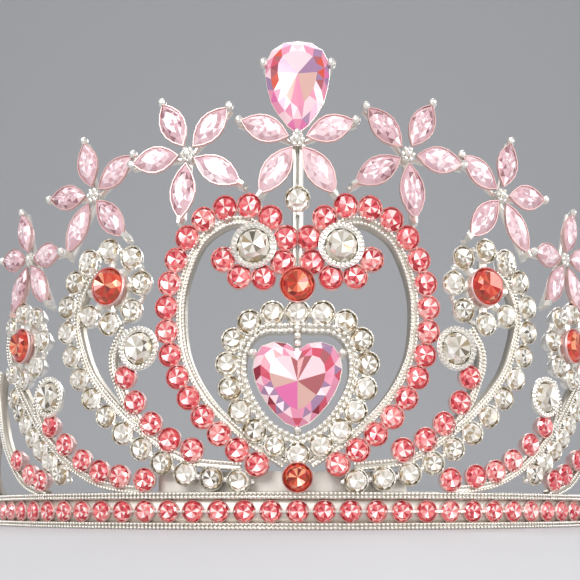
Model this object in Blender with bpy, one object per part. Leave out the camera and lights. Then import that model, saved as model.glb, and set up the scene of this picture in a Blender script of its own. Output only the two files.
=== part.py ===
"""A tiara for stage wear: a curved band with one row of stones, a pierced crest of scrolls, daisies and
flowers soldered above it, and the large cut stones that the crest carries. Metres, +Z up, front to -Y."""

import math

import bmesh
import bpy
from mathutils import Matrix, Vector

# Plan of the band: half an ellipse, open at the back where the head goes in.
PLAN_HALF_WIDTH = 0.0714
PLAN_DEPTH = 0.0520
BAND_SEGMENTS = 28

# Band: a lower rail with a web behind its stones, under the foot rail of the crest.
BAND_HEIGHT = 0.0062
BAND_RAIL_HEIGHT = 0.0012
BAND_WEB = 0.0006
BAND_PITCH = 0.00425
BAND_STONES_EACH_SIDE = 15
BAND_STONE = 0.0034
BAND_STONE_CLEARANCE = 0.0001
NOTCH_DEPTH = 0.0014
NOTCH_WIDTH = 0.0022
LOOP_HOLE = 0.0028
LOOP_WALL = 0.0014
BACK_STRIP_LEFT = -0.0240
BACK_STRIP_RIGHT = 0.0185
BACK_STRIP_HEIGHT = 0.0058
BACK_STRIP_THICKNESS = 0.0008
BACK_STRIP_FOOT = 0.0038

# Depth of the metal and of the stones, from the plan curve outwards.
METAL_HALF_DEPTH = 0.0008
CUP_BACK = -0.0010
CUP_GIRDLE = 0.0004
CUP_TABLE = 0.0013
TABLE_SHARE = 0.55
ROUND_FOOT_SHARE = 0.75
ROUND_STEP = 0.14
FANCY_SEAT_SHARE = 0.90
FANCY_FOOT_SHARE = 0.82
HEART_RISE = 0.16
PEAR_RISE = 0.19
PETAL_PAVILION = 0.18
PETAL_CROWN = 0.16
SEAT_FRONT = 0.0009
SEAT_BACK = -0.0009
STONE_CLEARANCE = 0.0002
SOLDER = 0.0003
SOLDER_GAP = 0.0003
CUP_SIDES = 8
SEAT_SIDES = 8

# Rails and small stones of the crest.
RAIL_WIDTH = 0.0015
RAIL_STEP = 0.0034
SMALL_STONE = 0.0038
MAIN_PINKS = 16
HEART_CLEARS = 18
TIER_CLEARS = 14
OUTER_CLEARS = 7
MAIN_ROW = (0.05, 1.0)
TIER_ROW = (0.03, 0.97)
OUTER_ROW = (0.30, 0.66)

# Centre: base coral, heart and its frame, middle coral, cluster, stem, flower and pear.
BASE_CORAL = 0.0048
MIDDLE_CORAL = 0.0054
HEART_WIDTH = 0.0142
HEART_HEIGHT = 0.0138
HEART_FRAME_WIDTH = 0.0180
HEART_FRAME_HEIGHT = 0.0182
HEART_LIFT = 0.0019
PEAR_WIDTH = 0.0104
PEAR_HEIGHT = 0.0143
PEAR_ABOVE_FLOWER = 0.0018
SCROLL_STONE = 0.0052
BEZEL = 0.0011
STEM_WIDTH = 0.0019
STEM_STONE_ABOVE_SCROLL = 0.0030
CLUSTER_FIRST_ANGLE = 166.0
CLUSTER_ANGLE_STEP = 43.3
CLUSTER_PINKS = 5
CLUSTER_SPREAD = 1.31
CLUSTER_DROP = 0.0045
SEAT_RIM = 0.0002
MIDDLE_SEAT_RIM = 0.0004

# Scrolls: foot, width and height of each rail, in arc length across and in height.
SCROLL_WIDTH = 0.01925
SCROLL_HEIGHT = 0.0394
SCROLL_FOOT_UP = 0.0044
TIER_FOOT_ACROSS = 0.0105
TIER_FOOT_UP = 0.0037
TIER_WIDTH = 0.0290
TIER_HEIGHT = 0.0344
OUTER_FOOT_ACROSS = 0.0280
OUTER_FOOT_UP = 0.0006
OUTER_WIDTH = 0.0333
OUTER_HEIGHT = 0.0332
END_FOOT_ACROSS = 0.0480
END_WIDTH = 0.0192
END_HEIGHT = 0.0250
CLOSING_REACH = 0.0900
CLOSING_TOP = 0.8

# Depth of each rail in the order of rails(); rails that meet differ, so that no faces coincide.
RAIL_DEPTHS = (1.0, 0.96, 0.98, 0.88, 0.86, 0.94, 0.84)

# Daisies and flowers.
DAISY_CORAL = 0.0054
DAISY_RING = 0.0062
DAISY_CLEARS = 7
DAISY_STEP = 45.0
PETAL_LENGTH = 0.0078
PETAL_WIDTH = 0.0040
PETAL_START = 0.0016
HUB = 0.0026
CLAW = 0.0007
ARM_WIDTH = 0.0012
FOOT_REACH = 0.0021
ARM_PAST_CLAW = 0.0001

# Shapes of the rails as shares of their width and height, from the foot to the curled end.
SCROLL_SHAPE = (
    (0.114, 0.000),
    (0.436, 0.109),
    (0.764, 0.269),
    (0.956, 0.448),
    (1.000, 0.638),
    (0.956, 0.778),
    (0.826, 0.916),
    (0.650, 0.982),
    (0.504, 1.000),
    (0.374, 0.985),
    (0.290, 0.950),
)
TIER_SHAPE = (
    (-0.045, 0.010),
    (0.260, 0.044),
    (0.490, 0.157),
    (0.690, 0.294),
    (0.890, 0.483),
    (0.983, 0.672),
    (1.000, 0.776),
    (0.983, 0.860),
    (0.903, 0.970),
    (0.845, 1.000),
)
TIER_CURL_SHAPE = (
    (0.655, 0.690),
    (0.725, 0.600),
    (0.735, 0.515),
    (0.705, 0.435),
    (0.660, 0.345),
    (0.600, 0.265),
    (0.540, 0.195),
)
TIER_CURL_STONES = ((0.641, 0.454), (0.579, 0.328), (0.476, 0.221), (0.362, 0.142), (0.228, 0.090))
OUTER_SHAPE = (
    (-0.060, -0.010),
    (0.120, 0.012),
    (0.240, 0.045),
    (0.390, 0.123),
    (0.511, 0.217),
    (0.646, 0.343),
    (0.871, 0.608),
    (0.961, 0.735),
    (1.000, 0.850),
    (0.965, 0.945),
    (0.890, 1.000),
)
OUTER_CURL_SHAPE = ((0.625, 0.590), (0.675, 0.500), (0.665, 0.410), (0.628, 0.330))
OUTER_CURL_STONES = (
    (0.540, 0.345),
    (0.425, 0.243),
    (0.305, 0.150),
    (0.190, 0.090),
    (0.068, 0.063),
    (-0.075, 0.043),
)
END_SHAPE = ((0.0, 0.0), (0.34, 0.09), (0.58, 0.23), (0.81, 0.42), (0.96, 0.65), (1.0, 0.85), (0.93, 1.0))
END_STONES = ((0.03, 0.05), (0.20, 0.12), (0.40, 0.24))
CLOSING_SHAPE = ((0.0, 1.0), (0.22, 0.60), (0.50, 0.30), (0.78, 0.10), (1.0, -0.02))

# Half outlines as shares of half the width and of the height, from the bottom to the top.
HEART_OUTLINE = (
    (0.00, 0.00),
    (0.30, 0.07),
    (0.70, 0.29),
    (0.95, 0.54),
    (1.00, 0.74),
    (0.86, 0.93),
    (0.55, 1.00),
    (0.25, 0.985),
    (0.00, 0.90),
)
HEART_FRAME_OUTLINE = (
    (0.00, 0.00),
    (0.20, 0.035),
    (0.47, 0.115),
    (0.70, 0.245),
    (0.90, 0.42),
    (1.00, 0.60),
    (0.96, 0.80),
    (0.80, 0.93),
    (0.55, 0.99),
    (0.28, 0.99),
    (0.00, 1.00),
)
PEAR_OUTLINE = (
    (0.00, 0.00),
    (0.33, 0.13),
    (0.63, 0.30),
    (0.88, 0.50),
    (1.00, 0.69),
    (0.90, 0.86),
    (0.54, 0.97),
    (0.00, 1.00),
)
STONE_CENTRE = 0.58

# Large stones of the tiers as shares of the width and height of their scroll.
DAISY = (0.752, 0.904)
OUTER_DAISY = (0.796, 0.820)
CURL_STONE = (0.548, 0.585)
OUTER_CURL_STONE = (0.535, 0.500)

# Flowers: place of the hub as a share of what carries it, and the angles of the petals in degrees,
# from outwards, anticlockwise on the right side.
CENTRE_FLOWER_UP = 0.0123
CENTRE_PETALS = (18.0, -55.0)
INNER_FLOWER = (0.925, 1.279)
INNER_PETALS = (64.0, 136.0, 212.0, 277.0, 356.0)
MIDDLE_FLOWER = (0.859, 1.372)
MIDDLE_PETALS = (79.0, 150.0, 231.0, 302.0, 7.0)
OUTER_FLOWER = (0.706, 1.286)
OUTER_PETALS = (74.0, 186.0, 240.0, 304.0, 12.0)
FOOT_ANGLES = (200.0, 340.0)

PLAN_STEPS = 900


def plan_lengths():
    """Arc length along the quarter ellipse at even steps of its angle."""
    lengths = [0.0]
    step = math.pi / 2 / PLAN_STEPS
    for i in range(PLAN_STEPS):
        angle = (i + 0.5) * step
        dx = PLAN_HALF_WIDTH * math.cos(angle)
        dy = PLAN_DEPTH * math.sin(angle)
        lengths.append(lengths[-1] + math.hypot(dx, dy) * step)
    return lengths


PLAN_LENGTHS = plan_lengths()
BAND_REACH = PLAN_LENGTHS[-1]


def plan_angle(across):
    """Angle of the ellipse at an arc length across from the centre."""
    target = min(abs(across), BAND_REACH)
    low = 0
    high = PLAN_STEPS
    while high - low > 1:
        middle = (low + high) // 2
        if PLAN_LENGTHS[middle] > target:
            high = middle
        else:
            low = middle
    run = PLAN_LENGTHS[high] - PLAN_LENGTHS[low]
    angle = (low + (target - PLAN_LENGTHS[low]) / run) * math.pi / 2 / PLAN_STEPS
    return math.copysign(angle, across)


def plan_axes(across):
    """Directions along the band and out of it."""
    angle = plan_angle(across)
    along = Vector((PLAN_HALF_WIDTH * math.cos(angle), PLAN_DEPTH * math.sin(angle), 0.0)).normalized()
    out = Vector((along.y, -along.x, 0.0))
    return along, out


def on_front(across, up, out=0.0):
    """World point on the curved front of the tiara; past its end the band runs straight on."""
    angle = plan_angle(across)
    along, outward = plan_axes(across)
    over = abs(across) - BAND_REACH
    point = Vector((PLAN_HALF_WIDTH * math.sin(angle), -PLAN_DEPTH * math.cos(angle), up))
    if over > 0:
        point += along * math.copysign(over, across)
    return point + outward * out


def place(across, up, turn=0.0):
    """Matrix that lays a flat drawing on the front: x along the band, y up, z out, turned by an angle."""
    along, out = plan_axes(across)
    frame = Matrix((along, Vector((0, 0, 1)), out)).transposed().to_4x4()
    return Matrix.Translation(on_front(across, up)) @ frame @ Matrix.Rotation(math.radians(turn), 4, "Z")


def smooth(points, step=RAIL_STEP):
    """Even points, about a step apart, on a smooth curve through the given ones."""
    points = [Vector(p) for p in points]
    ends = [points[0] * 2 - points[1]] + points + [points[-1] * 2 - points[-2]]
    fine = []
    for a, b, c, d in zip(ends, ends[1:], ends[2:], ends[3:]):
        for i in range(12):
            t = i / 12
            fine.append(
                b
                + (c - a) * (0.5 * t)
                + (a * 2 - b * 5 + c * 4 - d) * (0.5 * t * t)
                + (b * 3 - a - c * 3 + d) * (0.5 * t ** 3)
            )
    fine.append(points[-1])
    return even(fine, max(2, round(path_length(fine) / step)) + 1)


def path_length(path):
    """Length of a path of points."""
    return sum((b - a).length for a, b in zip(path, path[1:]))


def even(path, count):
    """A number of points at even distances along a path, both ends included."""
    total = path_length(path)
    result = []
    i = 0
    done = 0.0
    for k in range(count):
        goal = total * k / (count - 1)
        while i < len(path) - 2 and done + (path[i + 1] - path[i]).length < goal:
            done += (path[i + 1] - path[i]).length
            i += 1
        run = (path[i + 1] - path[i]).length
        result.append(path[i].lerp(path[i + 1], (goal - done) / run))
    return result


def normals(path, closed=False):
    """Left-hand normal at each point of a path."""
    last = len(path) - 1
    result = []
    for i in range(len(path)):
        before = path[i - 1] if i or closed else path[i]
        after = path[(i + 1) % len(path)] if i < last or closed else path[i]
        along = (after - before).normalized()
        result.append(Vector((-along.y, along.x)))
    return result


def beside(path, distance, closed=False):
    """The path moved to its left by a distance."""
    return [p + n * distance for p, n in zip(path, normals(path, closed))]


def shaped(shape, foot, width, height, side=1):
    """Points of a table of shares, set on a foot and mirrored on the left side."""
    return [Vector((side * (foot[0] + x * width), foot[1] + y * height)) for x, y in shape]


def outline(half, width, height, foot_up=0.0):
    """Closed outline from its right half, anticlockwise from the bottom."""
    right = [Vector((x * width / 2, foot_up + y * height)) for x, y in half]
    left = [Vector((-p.x, p.y)) for p in reversed(right[1:-1])]
    return right + left


def ring(diameter, sides, turn=0.0):
    """Regular outline round a circle."""
    angles = [2 * math.pi * (i + turn) / sides for i in range(sides)]
    return [Vector((math.cos(a), math.sin(a))) * (diameter / 2) for a in angles]


def scaled(points, share, centre=(0.0, 0.0)):
    """Outline shrunk towards a centre."""
    middle = Vector(centre)
    return [middle + (p - middle) * share for p in points]


def new_object(name, mesh_data, material):
    """Object from vertices and faces, with its faces turned outwards."""
    mesh = bpy.data.meshes.new(name)
    bm = bmesh.new()
    for vertices, faces in mesh_data:
        made = [bm.verts.new(v) for v in vertices]
        for face in faces:
            bm.faces.new([made[i] for i in face])
    bmesh.ops.recalc_face_normals(bm, faces=bm.faces)
    bm.to_mesh(mesh)
    bm.free()
    made = bpy.data.objects.new(name, mesh)
    made.data.materials.append(material)
    bpy.context.scene.collection.objects.link(made)
    return made


def stack(rings, matrix):
    """Closed body through rings of equal counts, each a list of points and its distance out; a ring of
    one point is a tip."""
    vertices = []
    faces = []
    starts = []
    for points, out in rings:
        starts.append(len(vertices))
        vertices += [matrix @ Vector((p.x, p.y, out)) for p in points]
    count = max(len(points) for points, out in rings)
    for (low, _), (high, _), a, b in zip(rings, rings[1:], starts, starts[1:]):
        for i in range(count):
            j = (i + 1) % count
            if len(low) == 1:
                faces.append((a, b + i, b + j))
            elif len(high) == 1:
                faces.append((a + i, a + j, b))
            else:
                faces.append((a + i, a + j, b + j, b + i))
    for points, start in ((rings[0][0], starts[0]), (rings[-1][0], starts[-1])):
        if len(points) > 1:
            faces.append(tuple(range(start, start + len(points))))
    return vertices, faces


def ribbon(path, width, back, front, closed=False):
    """Bar of square section that follows a path on the curved front."""
    return sweep(path, [(-width / 2, back), (width / 2, back), (width / 2, front), (-width / 2, front)], closed)


def sweep(path, section, closed=False):
    """Bar of a section, given as distances to the left and out, along a path on the curved front."""
    vertices = []
    for p, n in zip(path, normals(path, closed)):
        vertices += [on_front(p.x + n.x * left, p.y + n.y * left, out) for left, out in section]
    size = len(section)
    faces = []
    for i in range(len(path) if closed else len(path) - 1):
        a = i * size
        b = (i + 1) % len(path) * size
        faces += [(a + k, a + (k + 1) % size, b + (k + 1) % size, b + k) for k in range(size)]
    if not closed:
        faces.append(tuple(range(size)))
        faces.append(tuple(range(len(vertices) - size, len(vertices))))
    return vertices, faces


def cup(across, up, diameter, back=CUP_BACK, turn=0.0):
    """Small stone fused in its tapered cup: eight sides to a point, eight crown facets and a table."""
    girdle = ring(diameter, CUP_SIDES)
    rings = [([Vector((0.0, 0.0))], back), (girdle, CUP_GIRDLE), (scaled(girdle, TABLE_SHARE), CUP_TABLE)]
    return stack(rings, place(across, up, turn))


def seat(across, up, diameter):
    """Raised metal seat under a large round stone."""
    rim = ring(diameter, SEAT_SIDES)
    return stack([(rim, SEAT_BACK), (rim, SEAT_FRONT)], place(across, up))


def round_stone(across, up, diameter):
    """Large round cut stone above its seat: ten crown facets and a table."""
    girdle = ring(diameter, SEAT_SIDES)
    foot = SEAT_FRONT + STONE_CLEARANCE
    height = diameter * ROUND_STEP
    rings = [
        (scaled(girdle, ROUND_FOOT_SHARE), foot),
        (girdle, foot + height),
        (scaled(girdle, TABLE_SHARE), foot + 2 * height),
    ]
    return stack(rings, place(across, up))


def bar(matrix, start, end, width, back, front):
    """Straight bar along x between two distances."""
    flat = [Vector((x, y)) for x, y in ((start, -width / 2), (end, -width / 2), (end, width / 2), (start, width / 2))]
    return stack([(flat, back), (flat, front)], matrix)


def claw(matrix, reach, front, width=ARM_WIDTH):
    """Upright claw whose outer face stands at a distance along x."""
    return bar(matrix, reach - CLAW, reach, width * 0.8, -METAL_HALF_DEPTH * 0.3, front)


def flower_plate(matrix, petals):
    """Star-shaped plate behind a flower, with one tapered arm for each pair of an angle and a reach."""
    petals = sorted((math.radians(angle) % (2 * math.pi), reach) for angle, reach in petals)
    shape = []
    for i, (angle, reach) in enumerate(petals):
        along = Vector((math.cos(angle), math.sin(angle)))
        left = Vector((-along.y, along.x)) * (ARM_WIDTH / 2)
        shape += [along * reach - left, along * reach + left]
        after = petals[(i + 1) % len(petals)][0]
        between = angle + (after - angle) % (2 * math.pi) / 2
        shape.append(Vector((math.cos(between), math.sin(between))) * (HUB / 2))
    return stack([(shape, -METAL_HALF_DEPTH * 0.9), (shape, ARM_FRONT)], matrix)


# Places worked out from the sizes above.
RAIL_OFFSET = RAIL_WIDTH / 2 + SMALL_STONE / 2 - SOLDER
CREST_FOOT = BAND_HEIGHT - SOLDER
FOOT_RAIL_UP = BAND_HEIGHT - BAND_RAIL_HEIGHT / 2
BAND_HALF_DEPTH = METAL_HALF_DEPTH * 1.1
BASE_SEAT = BASE_CORAL + SEAT_RIM
MIDDLE_SEAT = MIDDLE_CORAL + MIDDLE_SEAT_RIM
BASE_UP = CREST_FOOT + BASE_SEAT / 2
HEART_FRAME_FOOT = BASE_UP + BASE_SEAT / 2 + SMALL_STONE / 2 - SOLDER + SMALL_STONE / 2
HEART_FOOT = HEART_FRAME_FOOT + HEART_LIFT
HEART_FRAME_TOP = HEART_FRAME_FOOT + HEART_FRAME_HEIGHT
MIDDLE_UP = HEART_FRAME_TOP + RAIL_OFFSET + SMALL_STONE / 2 + MIDDLE_SEAT / 2 - 2 * SOLDER
SCROLL_FOOT = BAND_HEIGHT + SCROLL_FOOT_UP
SCROLL_TOP = SCROLL_FOOT + SCROLL_HEIGHT
SCROLL_SEAT = SCROLL_STONE + 2 * BEZEL
CLUSTER_RADIUS = SCROLL_SEAT / 2 + SMALL_STONE / 2 - SOLDER
SCROLL_STONE_PLACE = (CLUSTER_RADIUS * CLUSTER_SPREAD, SCROLL_TOP - CLUSTER_DROP)
FLOWER_UP = SCROLL_TOP + CENTRE_FLOWER_UP
TIER_FOOT = BAND_HEIGHT + TIER_FOOT_UP
OUTER_FOOT = BAND_HEIGHT + OUTER_FOOT_UP
DAISY_PLACE = (TIER_FOOT_ACROSS + DAISY[0] * TIER_WIDTH, TIER_FOOT + DAISY[1] * TIER_HEIGHT)
OUTER_DAISY_PLACE = (
    OUTER_FOOT_ACROSS + OUTER_DAISY[0] * OUTER_WIDTH,
    OUTER_FOOT + OUTER_DAISY[1] * OUTER_HEIGHT,
)
CURL_STONE_PLACE = (TIER_FOOT_ACROSS + CURL_STONE[0] * TIER_WIDTH, TIER_FOOT + CURL_STONE[1] * TIER_HEIGHT)
OUTER_CURL_PLACE = (
    OUTER_FOOT_ACROSS + OUTER_CURL_STONE[0] * OUTER_WIDTH,
    OUTER_FOOT + OUTER_CURL_STONE[1] * OUTER_HEIGHT,
)
DAISY_TRAY = 2 * (DAISY_RING - SMALL_STONE / 2 + SOLDER * 1.5)
CLAW_REACH = PETAL_START + PETAL_LENGTH + STONE_CLEARANCE + CLAW
PETAL_TIP = CLAW_REACH + ARM_PAST_CLAW
ARM_FRONT = METAL_HALF_DEPTH / 2
PETAL_GIRDLE = ARM_FRONT + STONE_CLEARANCE + PETAL_WIDTH * PETAL_PAVILION
PETAL_TABLE = PETAL_GIRDLE + PETAL_WIDTH * PETAL_CROWN
PEAR_FOOT = FLOWER_UP + PEAR_ABOVE_FLOWER
FANCY_SEAT = METAL_HALF_DEPTH * 0.4
FANCY_FOOT = FANCY_SEAT + STONE_CLEARANCE
HEART_TABLE = FANCY_FOOT + HEART_WIDTH * HEART_RISE
PEAR_TABLE = FANCY_FOOT + PEAR_WIDTH * PEAR_RISE


def main_scroll(side):
    """Rail of the large scroll."""
    return smooth(shaped(SCROLL_SHAPE, (0.0, SCROLL_FOOT), SCROLL_WIDTH, SCROLL_HEIGHT, side))


def tier_scroll(side):
    """Rail of the second scroll."""
    return smooth(shaped(TIER_SHAPE, (TIER_FOOT_ACROSS, TIER_FOOT), TIER_WIDTH, TIER_HEIGHT, side))


def outer_scroll(side):
    """Rail of the third scroll."""
    return smooth(shaped(OUTER_SHAPE, (OUTER_FOOT_ACROSS, OUTER_FOOT), OUTER_WIDTH, OUTER_HEIGHT, side))


def heart_frame():
    """Closed rail round the heart."""
    points = outline(HEART_FRAME_OUTLINE, HEART_FRAME_WIDTH, HEART_FRAME_HEIGHT, HEART_FRAME_FOOT)
    return smooth(points + [points[0]])[:-1]


def rails():
    """Path and half depth of every open rail."""
    for side in (1, -1):
        tier = ((TIER_FOOT_ACROSS, TIER_FOOT), TIER_WIDTH, TIER_HEIGHT, side)
        outer = ((OUTER_FOOT_ACROSS, OUTER_FOOT), OUTER_WIDTH, OUTER_HEIGHT, side)
        end = ((END_FOOT_ACROSS, CREST_FOOT), END_WIDTH, END_HEIGHT, side)
        end_top = END_FOOT_ACROSS + END_WIDTH
        closing = ((end_top, CREST_FOOT), CLOSING_REACH - end_top, END_HEIGHT * CLOSING_TOP, side)
        paths = (
            main_scroll(side),
            tier_scroll(side),
            outer_scroll(side),
            smooth(shaped(TIER_CURL_SHAPE, *tier)),
            smooth(shaped(OUTER_CURL_SHAPE, *outer)),
            smooth(shaped(END_SHAPE, *end)),
            smooth(shaped(CLOSING_SHAPE, *closing)),
        )
        for path, share in zip(paths, RAIL_DEPTHS):
            yield path, METAL_HALF_DEPTH * share


def row(path, side, first, last, count):
    """Places of a row of small stones soldered outside a rail, between two shares of its length."""
    outer = beside(path, -side * RAIL_OFFSET)
    start = round(first * (len(outer) - 1))
    end = round(last * (len(outer) - 1))
    return even(outer[start : end + 1], count)


def small_stones():
    """Places of every small stone of the crest."""
    yield from even_closed(beside(heart_frame(), -RAIL_OFFSET, True), HEART_CLEARS)
    for side in (1, -1):
        yield from row(main_scroll(side), side, *MAIN_ROW, MAIN_PINKS)
        yield from row(tier_scroll(side), side, *TIER_ROW, TIER_CLEARS)
        yield from row(outer_scroll(side), side, *OUTER_ROW, OUTER_CLEARS)
        yield from shaped(TIER_CURL_STONES, (TIER_FOOT_ACROSS, TIER_FOOT), TIER_WIDTH, TIER_HEIGHT, side)
        yield from shaped(OUTER_CURL_STONES, (OUTER_FOOT_ACROSS, OUTER_FOOT), OUTER_WIDTH, OUTER_HEIGHT, side)
        yield from shaped(END_STONES, (END_FOOT_ACROSS, CREST_FOOT + SMALL_STONE / 2), END_WIDTH, END_HEIGHT, side)
        for i in range(CLUSTER_PINKS):
            angle = CLUSTER_FIRST_ANGLE + i * CLUSTER_ANGLE_STEP
            yield around(SCROLL_STONE_PLACE, CLUSTER_RADIUS, angle, side)
        for centre in (DAISY_PLACE, OUTER_DAISY_PLACE):
            for i in range(1, DAISY_CLEARS + 1):
                yield around(centre, DAISY_RING, i * DAISY_STEP, side)


def around(centre, radius, angle, side):
    """Point of a ring round a centre, mirrored on the left side."""
    turn = math.radians(angle)
    return Vector((side * (centre[0] + radius * math.cos(turn)), centre[1] + radius * math.sin(turn)))


def carriers():
    """Every rail as its path and half its width, and every seat as one point and its radius."""
    frame = heart_frame()
    yield frame + [frame[0]], RAIL_WIDTH / 2
    for path, _ in rails():
        yield path, RAIL_WIDTH / 2
    for _, centre, _, tray in large_round_stones():
        yield [Vector(centre), Vector(centre)], tray / 2


def nearest(point, found):
    """Distance from a point to the edge of its nearest carrier, and the direction to it."""
    best = None
    for path, half in found:
        for a, b in zip(path, path[1:]):
            run = b - a
            share = (point - a).dot(run) / run.length_squared if run.length_squared else 0.0
            to = a + run * min(max(share, 0.0), 1.0) - point
            if best is None or to.length - half < best[0]:
                best = (to.length - half, to.normalized())
    return best


def soldered_cups():
    """Cups of the crest, each with a corner turned to its carrier and moved up to it where it stands off."""
    found = list(carriers())
    for point in small_stones():
        gap, along = nearest(point, found)
        point = point + along * max(0.0, gap - SMALL_STONE / 2 + SOLDER)
        point.y = max(point.y, CREST_FOOT + SMALL_STONE / 2)
        yield cup(point.x, point.y, SMALL_STONE, CUP_BACK, math.degrees(math.atan2(along.y, along.x)))


def even_closed(path, count):
    """Even points round a closed path."""
    return even(path + [path[0]], count + 1)[:-1]


def flowers():
    """Name, hub and petal angles of every flower."""
    both = CENTRE_PETALS + tuple(180.0 - a for a in CENTRE_PETALS)
    yield "centre_flower", (0.0, FLOWER_UP), both
    inner = (INNER_FLOWER[0] * SCROLL_WIDTH, SCROLL_FOOT + INNER_FLOWER[1] * SCROLL_HEIGHT)
    middle = (TIER_FOOT_ACROSS + MIDDLE_FLOWER[0] * TIER_WIDTH, TIER_FOOT + MIDDLE_FLOWER[1] * TIER_HEIGHT)
    outer = (OUTER_FOOT_ACROSS + OUTER_FLOWER[0] * OUTER_WIDTH, OUTER_FOOT + OUTER_FLOWER[1] * OUTER_HEIGHT)
    places = (("inner", inner, INNER_PETALS), ("middle", middle, MIDDLE_PETALS), ("outer", outer, OUTER_PETALS))
    for name, (across, up), angles in places:
        yield f"{name}_flower_right", (across, up), angles
        yield f"{name}_flower_left", (-across, up), tuple(180.0 - a for a in angles)


def large_round_stones():
    """Name, place and diameters of stone and seat of each large round stone."""
    yield "base_coral_stone", (0.0, BASE_UP), BASE_CORAL, BASE_SEAT
    yield "middle_coral_stone", (0.0, MIDDLE_UP), MIDDLE_CORAL, MIDDLE_SEAT
    pairs = (
        ("scroll_stone", SCROLL_STONE_PLACE, SCROLL_STONE, SCROLL_SEAT),
        ("curl_stone", CURL_STONE_PLACE, SCROLL_STONE, SCROLL_SEAT),
        ("outer_curl_stone", OUTER_CURL_PLACE, SCROLL_STONE, SCROLL_SEAT),
        ("daisy_stone", DAISY_PLACE, DAISY_CORAL, DAISY_TRAY),
        ("outer_daisy_stone", OUTER_DAISY_PLACE, DAISY_CORAL, DAISY_TRAY),
    )
    for name, (across, up), stone, tray in pairs:
        yield f"{name}_right", (across, up), stone, tray
        yield f"{name}_left", (-across, up), stone, tray


def crest_pieces():
    """Every body that is soldered into the crest."""
    yield ribbon(heart_frame(), RAIL_WIDTH, -METAL_HALF_DEPTH, METAL_HALF_DEPTH, True)
    yield ribbon(band_path(FOOT_RAIL_UP, CLOSING_REACH), BAND_RAIL_HEIGHT, -BAND_HALF_DEPTH, BAND_HALF_DEPTH)
    for path, half in rails():
        yield ribbon(path, RAIL_WIDTH, -half, half)
    yield from soldered_cups()
    for _, (across, up), _, tray in large_round_stones():
        yield seat(across, up, tray)
    for _, (across, up), angles in flowers():
        hub = ring(HUB * 0.9, CUP_SIDES)
        yield stack([(hub, -METAL_HALF_DEPTH * 0.3), (hub, PETAL_GIRDLE)], place(across, up))
        feet = [FOOT_ANGLES[0] < angle % 360.0 < FOOT_ANGLES[1] for angle in angles]
        reaches = [PETAL_TIP + FOOT_REACH * foot for foot in feet]
        yield flower_plate(place(across, up), zip(angles, reaches))
        for angle, foot in zip(angles, feet):
            if not foot:
                yield claw(place(across, up, angle), CLAW_REACH, PETAL_TABLE)
    yield from centre_pieces()


def centre_pieces():
    """Stem, and the seats and claws of the heart and the pear."""
    stem = [Vector((0.0, SCROLL_STONE_PLACE[1] + SMALL_STONE / 2)), Vector((0.0, FLOWER_UP))]
    yield ribbon(stem, STEM_WIDTH, -METAL_HALF_DEPTH * 0.7, METAL_HALF_DEPTH * 0.7)
    yield cup(0.0, SCROLL_TOP + STEM_STONE_ABOVE_SCROLL, SMALL_STONE, CUP_BACK * 0.95)
    shape = outline(HEART_OUTLINE, HEART_WIDTH, HEART_HEIGHT)
    inner = scaled(shape, FANCY_SEAT_SHARE, (0.0, HEART_HEIGHT * STONE_CENTRE))
    yield stack([(inner, -METAL_HALF_DEPTH * 0.6), (inner, FANCY_SEAT)], place(0.0, HEART_FOOT))
    cleft = HEART_HEIGHT * HEART_OUTLINE[-1][1]
    thin = METAL_HALF_DEPTH * 0.33
    up = place(0.0, HEART_FOOT, 90.0)
    yield bar(up, cleft / 2, HEART_FRAME_TOP - HEART_FOOT, ARM_WIDTH * 1.3, -thin, thin)
    yield claw(up, cleft + STONE_CLEARANCE + CLAW, HEART_TABLE, ARM_WIDTH * 1.1)
    yield bar(up, HEART_HEIGHT * 0.3, HEART_FRAME_FOOT - HEART_FOOT, ARM_WIDTH, -thin, thin * 0.8)
    for side in (1, -1):
        nub = place(0.0, HEART_FOOT + HEART_HEIGHT * 0.66, 90.0 - side * 68.0)
        yield bar(nub, HEART_WIDTH * 0.3, HEART_FRAME_WIDTH * 0.52, ARM_WIDTH, -thin, thin * 0.9)
        yield claw(nub, HEART_WIDTH * 0.53 + STONE_CLEARANCE + CLAW, HEART_TABLE)
    shape = outline(PEAR_OUTLINE, PEAR_WIDTH, PEAR_HEIGHT)
    inner = scaled(shape, FANCY_SEAT_SHARE, (0.0, PEAR_HEIGHT * STONE_CENTRE))
    yield stack([(inner, -METAL_HALF_DEPTH * 0.6), (inner, FANCY_SEAT)], place(0.0, PEAR_FOOT))
    for side in (1, -1):
        matrix = place(0.0, PEAR_FOOT + PEAR_HEIGHT * 0.72, 90.0 - side * 78.0)
        reach = PEAR_WIDTH * 0.505 + STONE_CLEARANCE * 2 + CLAW
        yield bar(matrix, PEAR_WIDTH * 0.3, reach, ARM_WIDTH, -thin, thin)
        yield claw(matrix, reach, PEAR_TABLE)
    neck = [Vector((0.0, FLOWER_UP)), Vector((0.0, PEAR_FOOT + PEAR_HEIGHT * 0.4))]
    yield ribbon(neck, ARM_WIDTH, -METAL_HALF_DEPTH * 0.5, METAL_HALF_DEPTH * 0.35)


def fuse(name, pieces, material):
    """One solid from overlapping bodies: the first is the object, the rest are Boolean operands."""
    pieces = list(pieces)
    body = new_object(name, [pieces[0]], material)
    operands = bpy.data.collections.new(f"{name} pieces")
    bpy.context.scene.collection.children.link(operands)
    for i, piece in enumerate(pieces[1:]):
        operand = new_object(f"{name}_piece_{i + 1}", [piece], material)
        bpy.context.scene.collection.objects.unlink(operand)
        operands.objects.link(operand)
        operand.hide_render = True
        operand.display_type = "WIRE"
    solder = body.modifiers.new("Solder", "BOOLEAN")
    solder.operation = "UNION"
    solder.operand_type = "COLLECTION"
    solder.collection = operands
    return body


def band_path(up, reach):
    """Path at one height along the band, to a distance on each side."""
    return [Vector((reach * (2 * i / BAND_SEGMENTS - 1), up)) for i in range(BAND_SEGMENTS + 1)]


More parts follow.
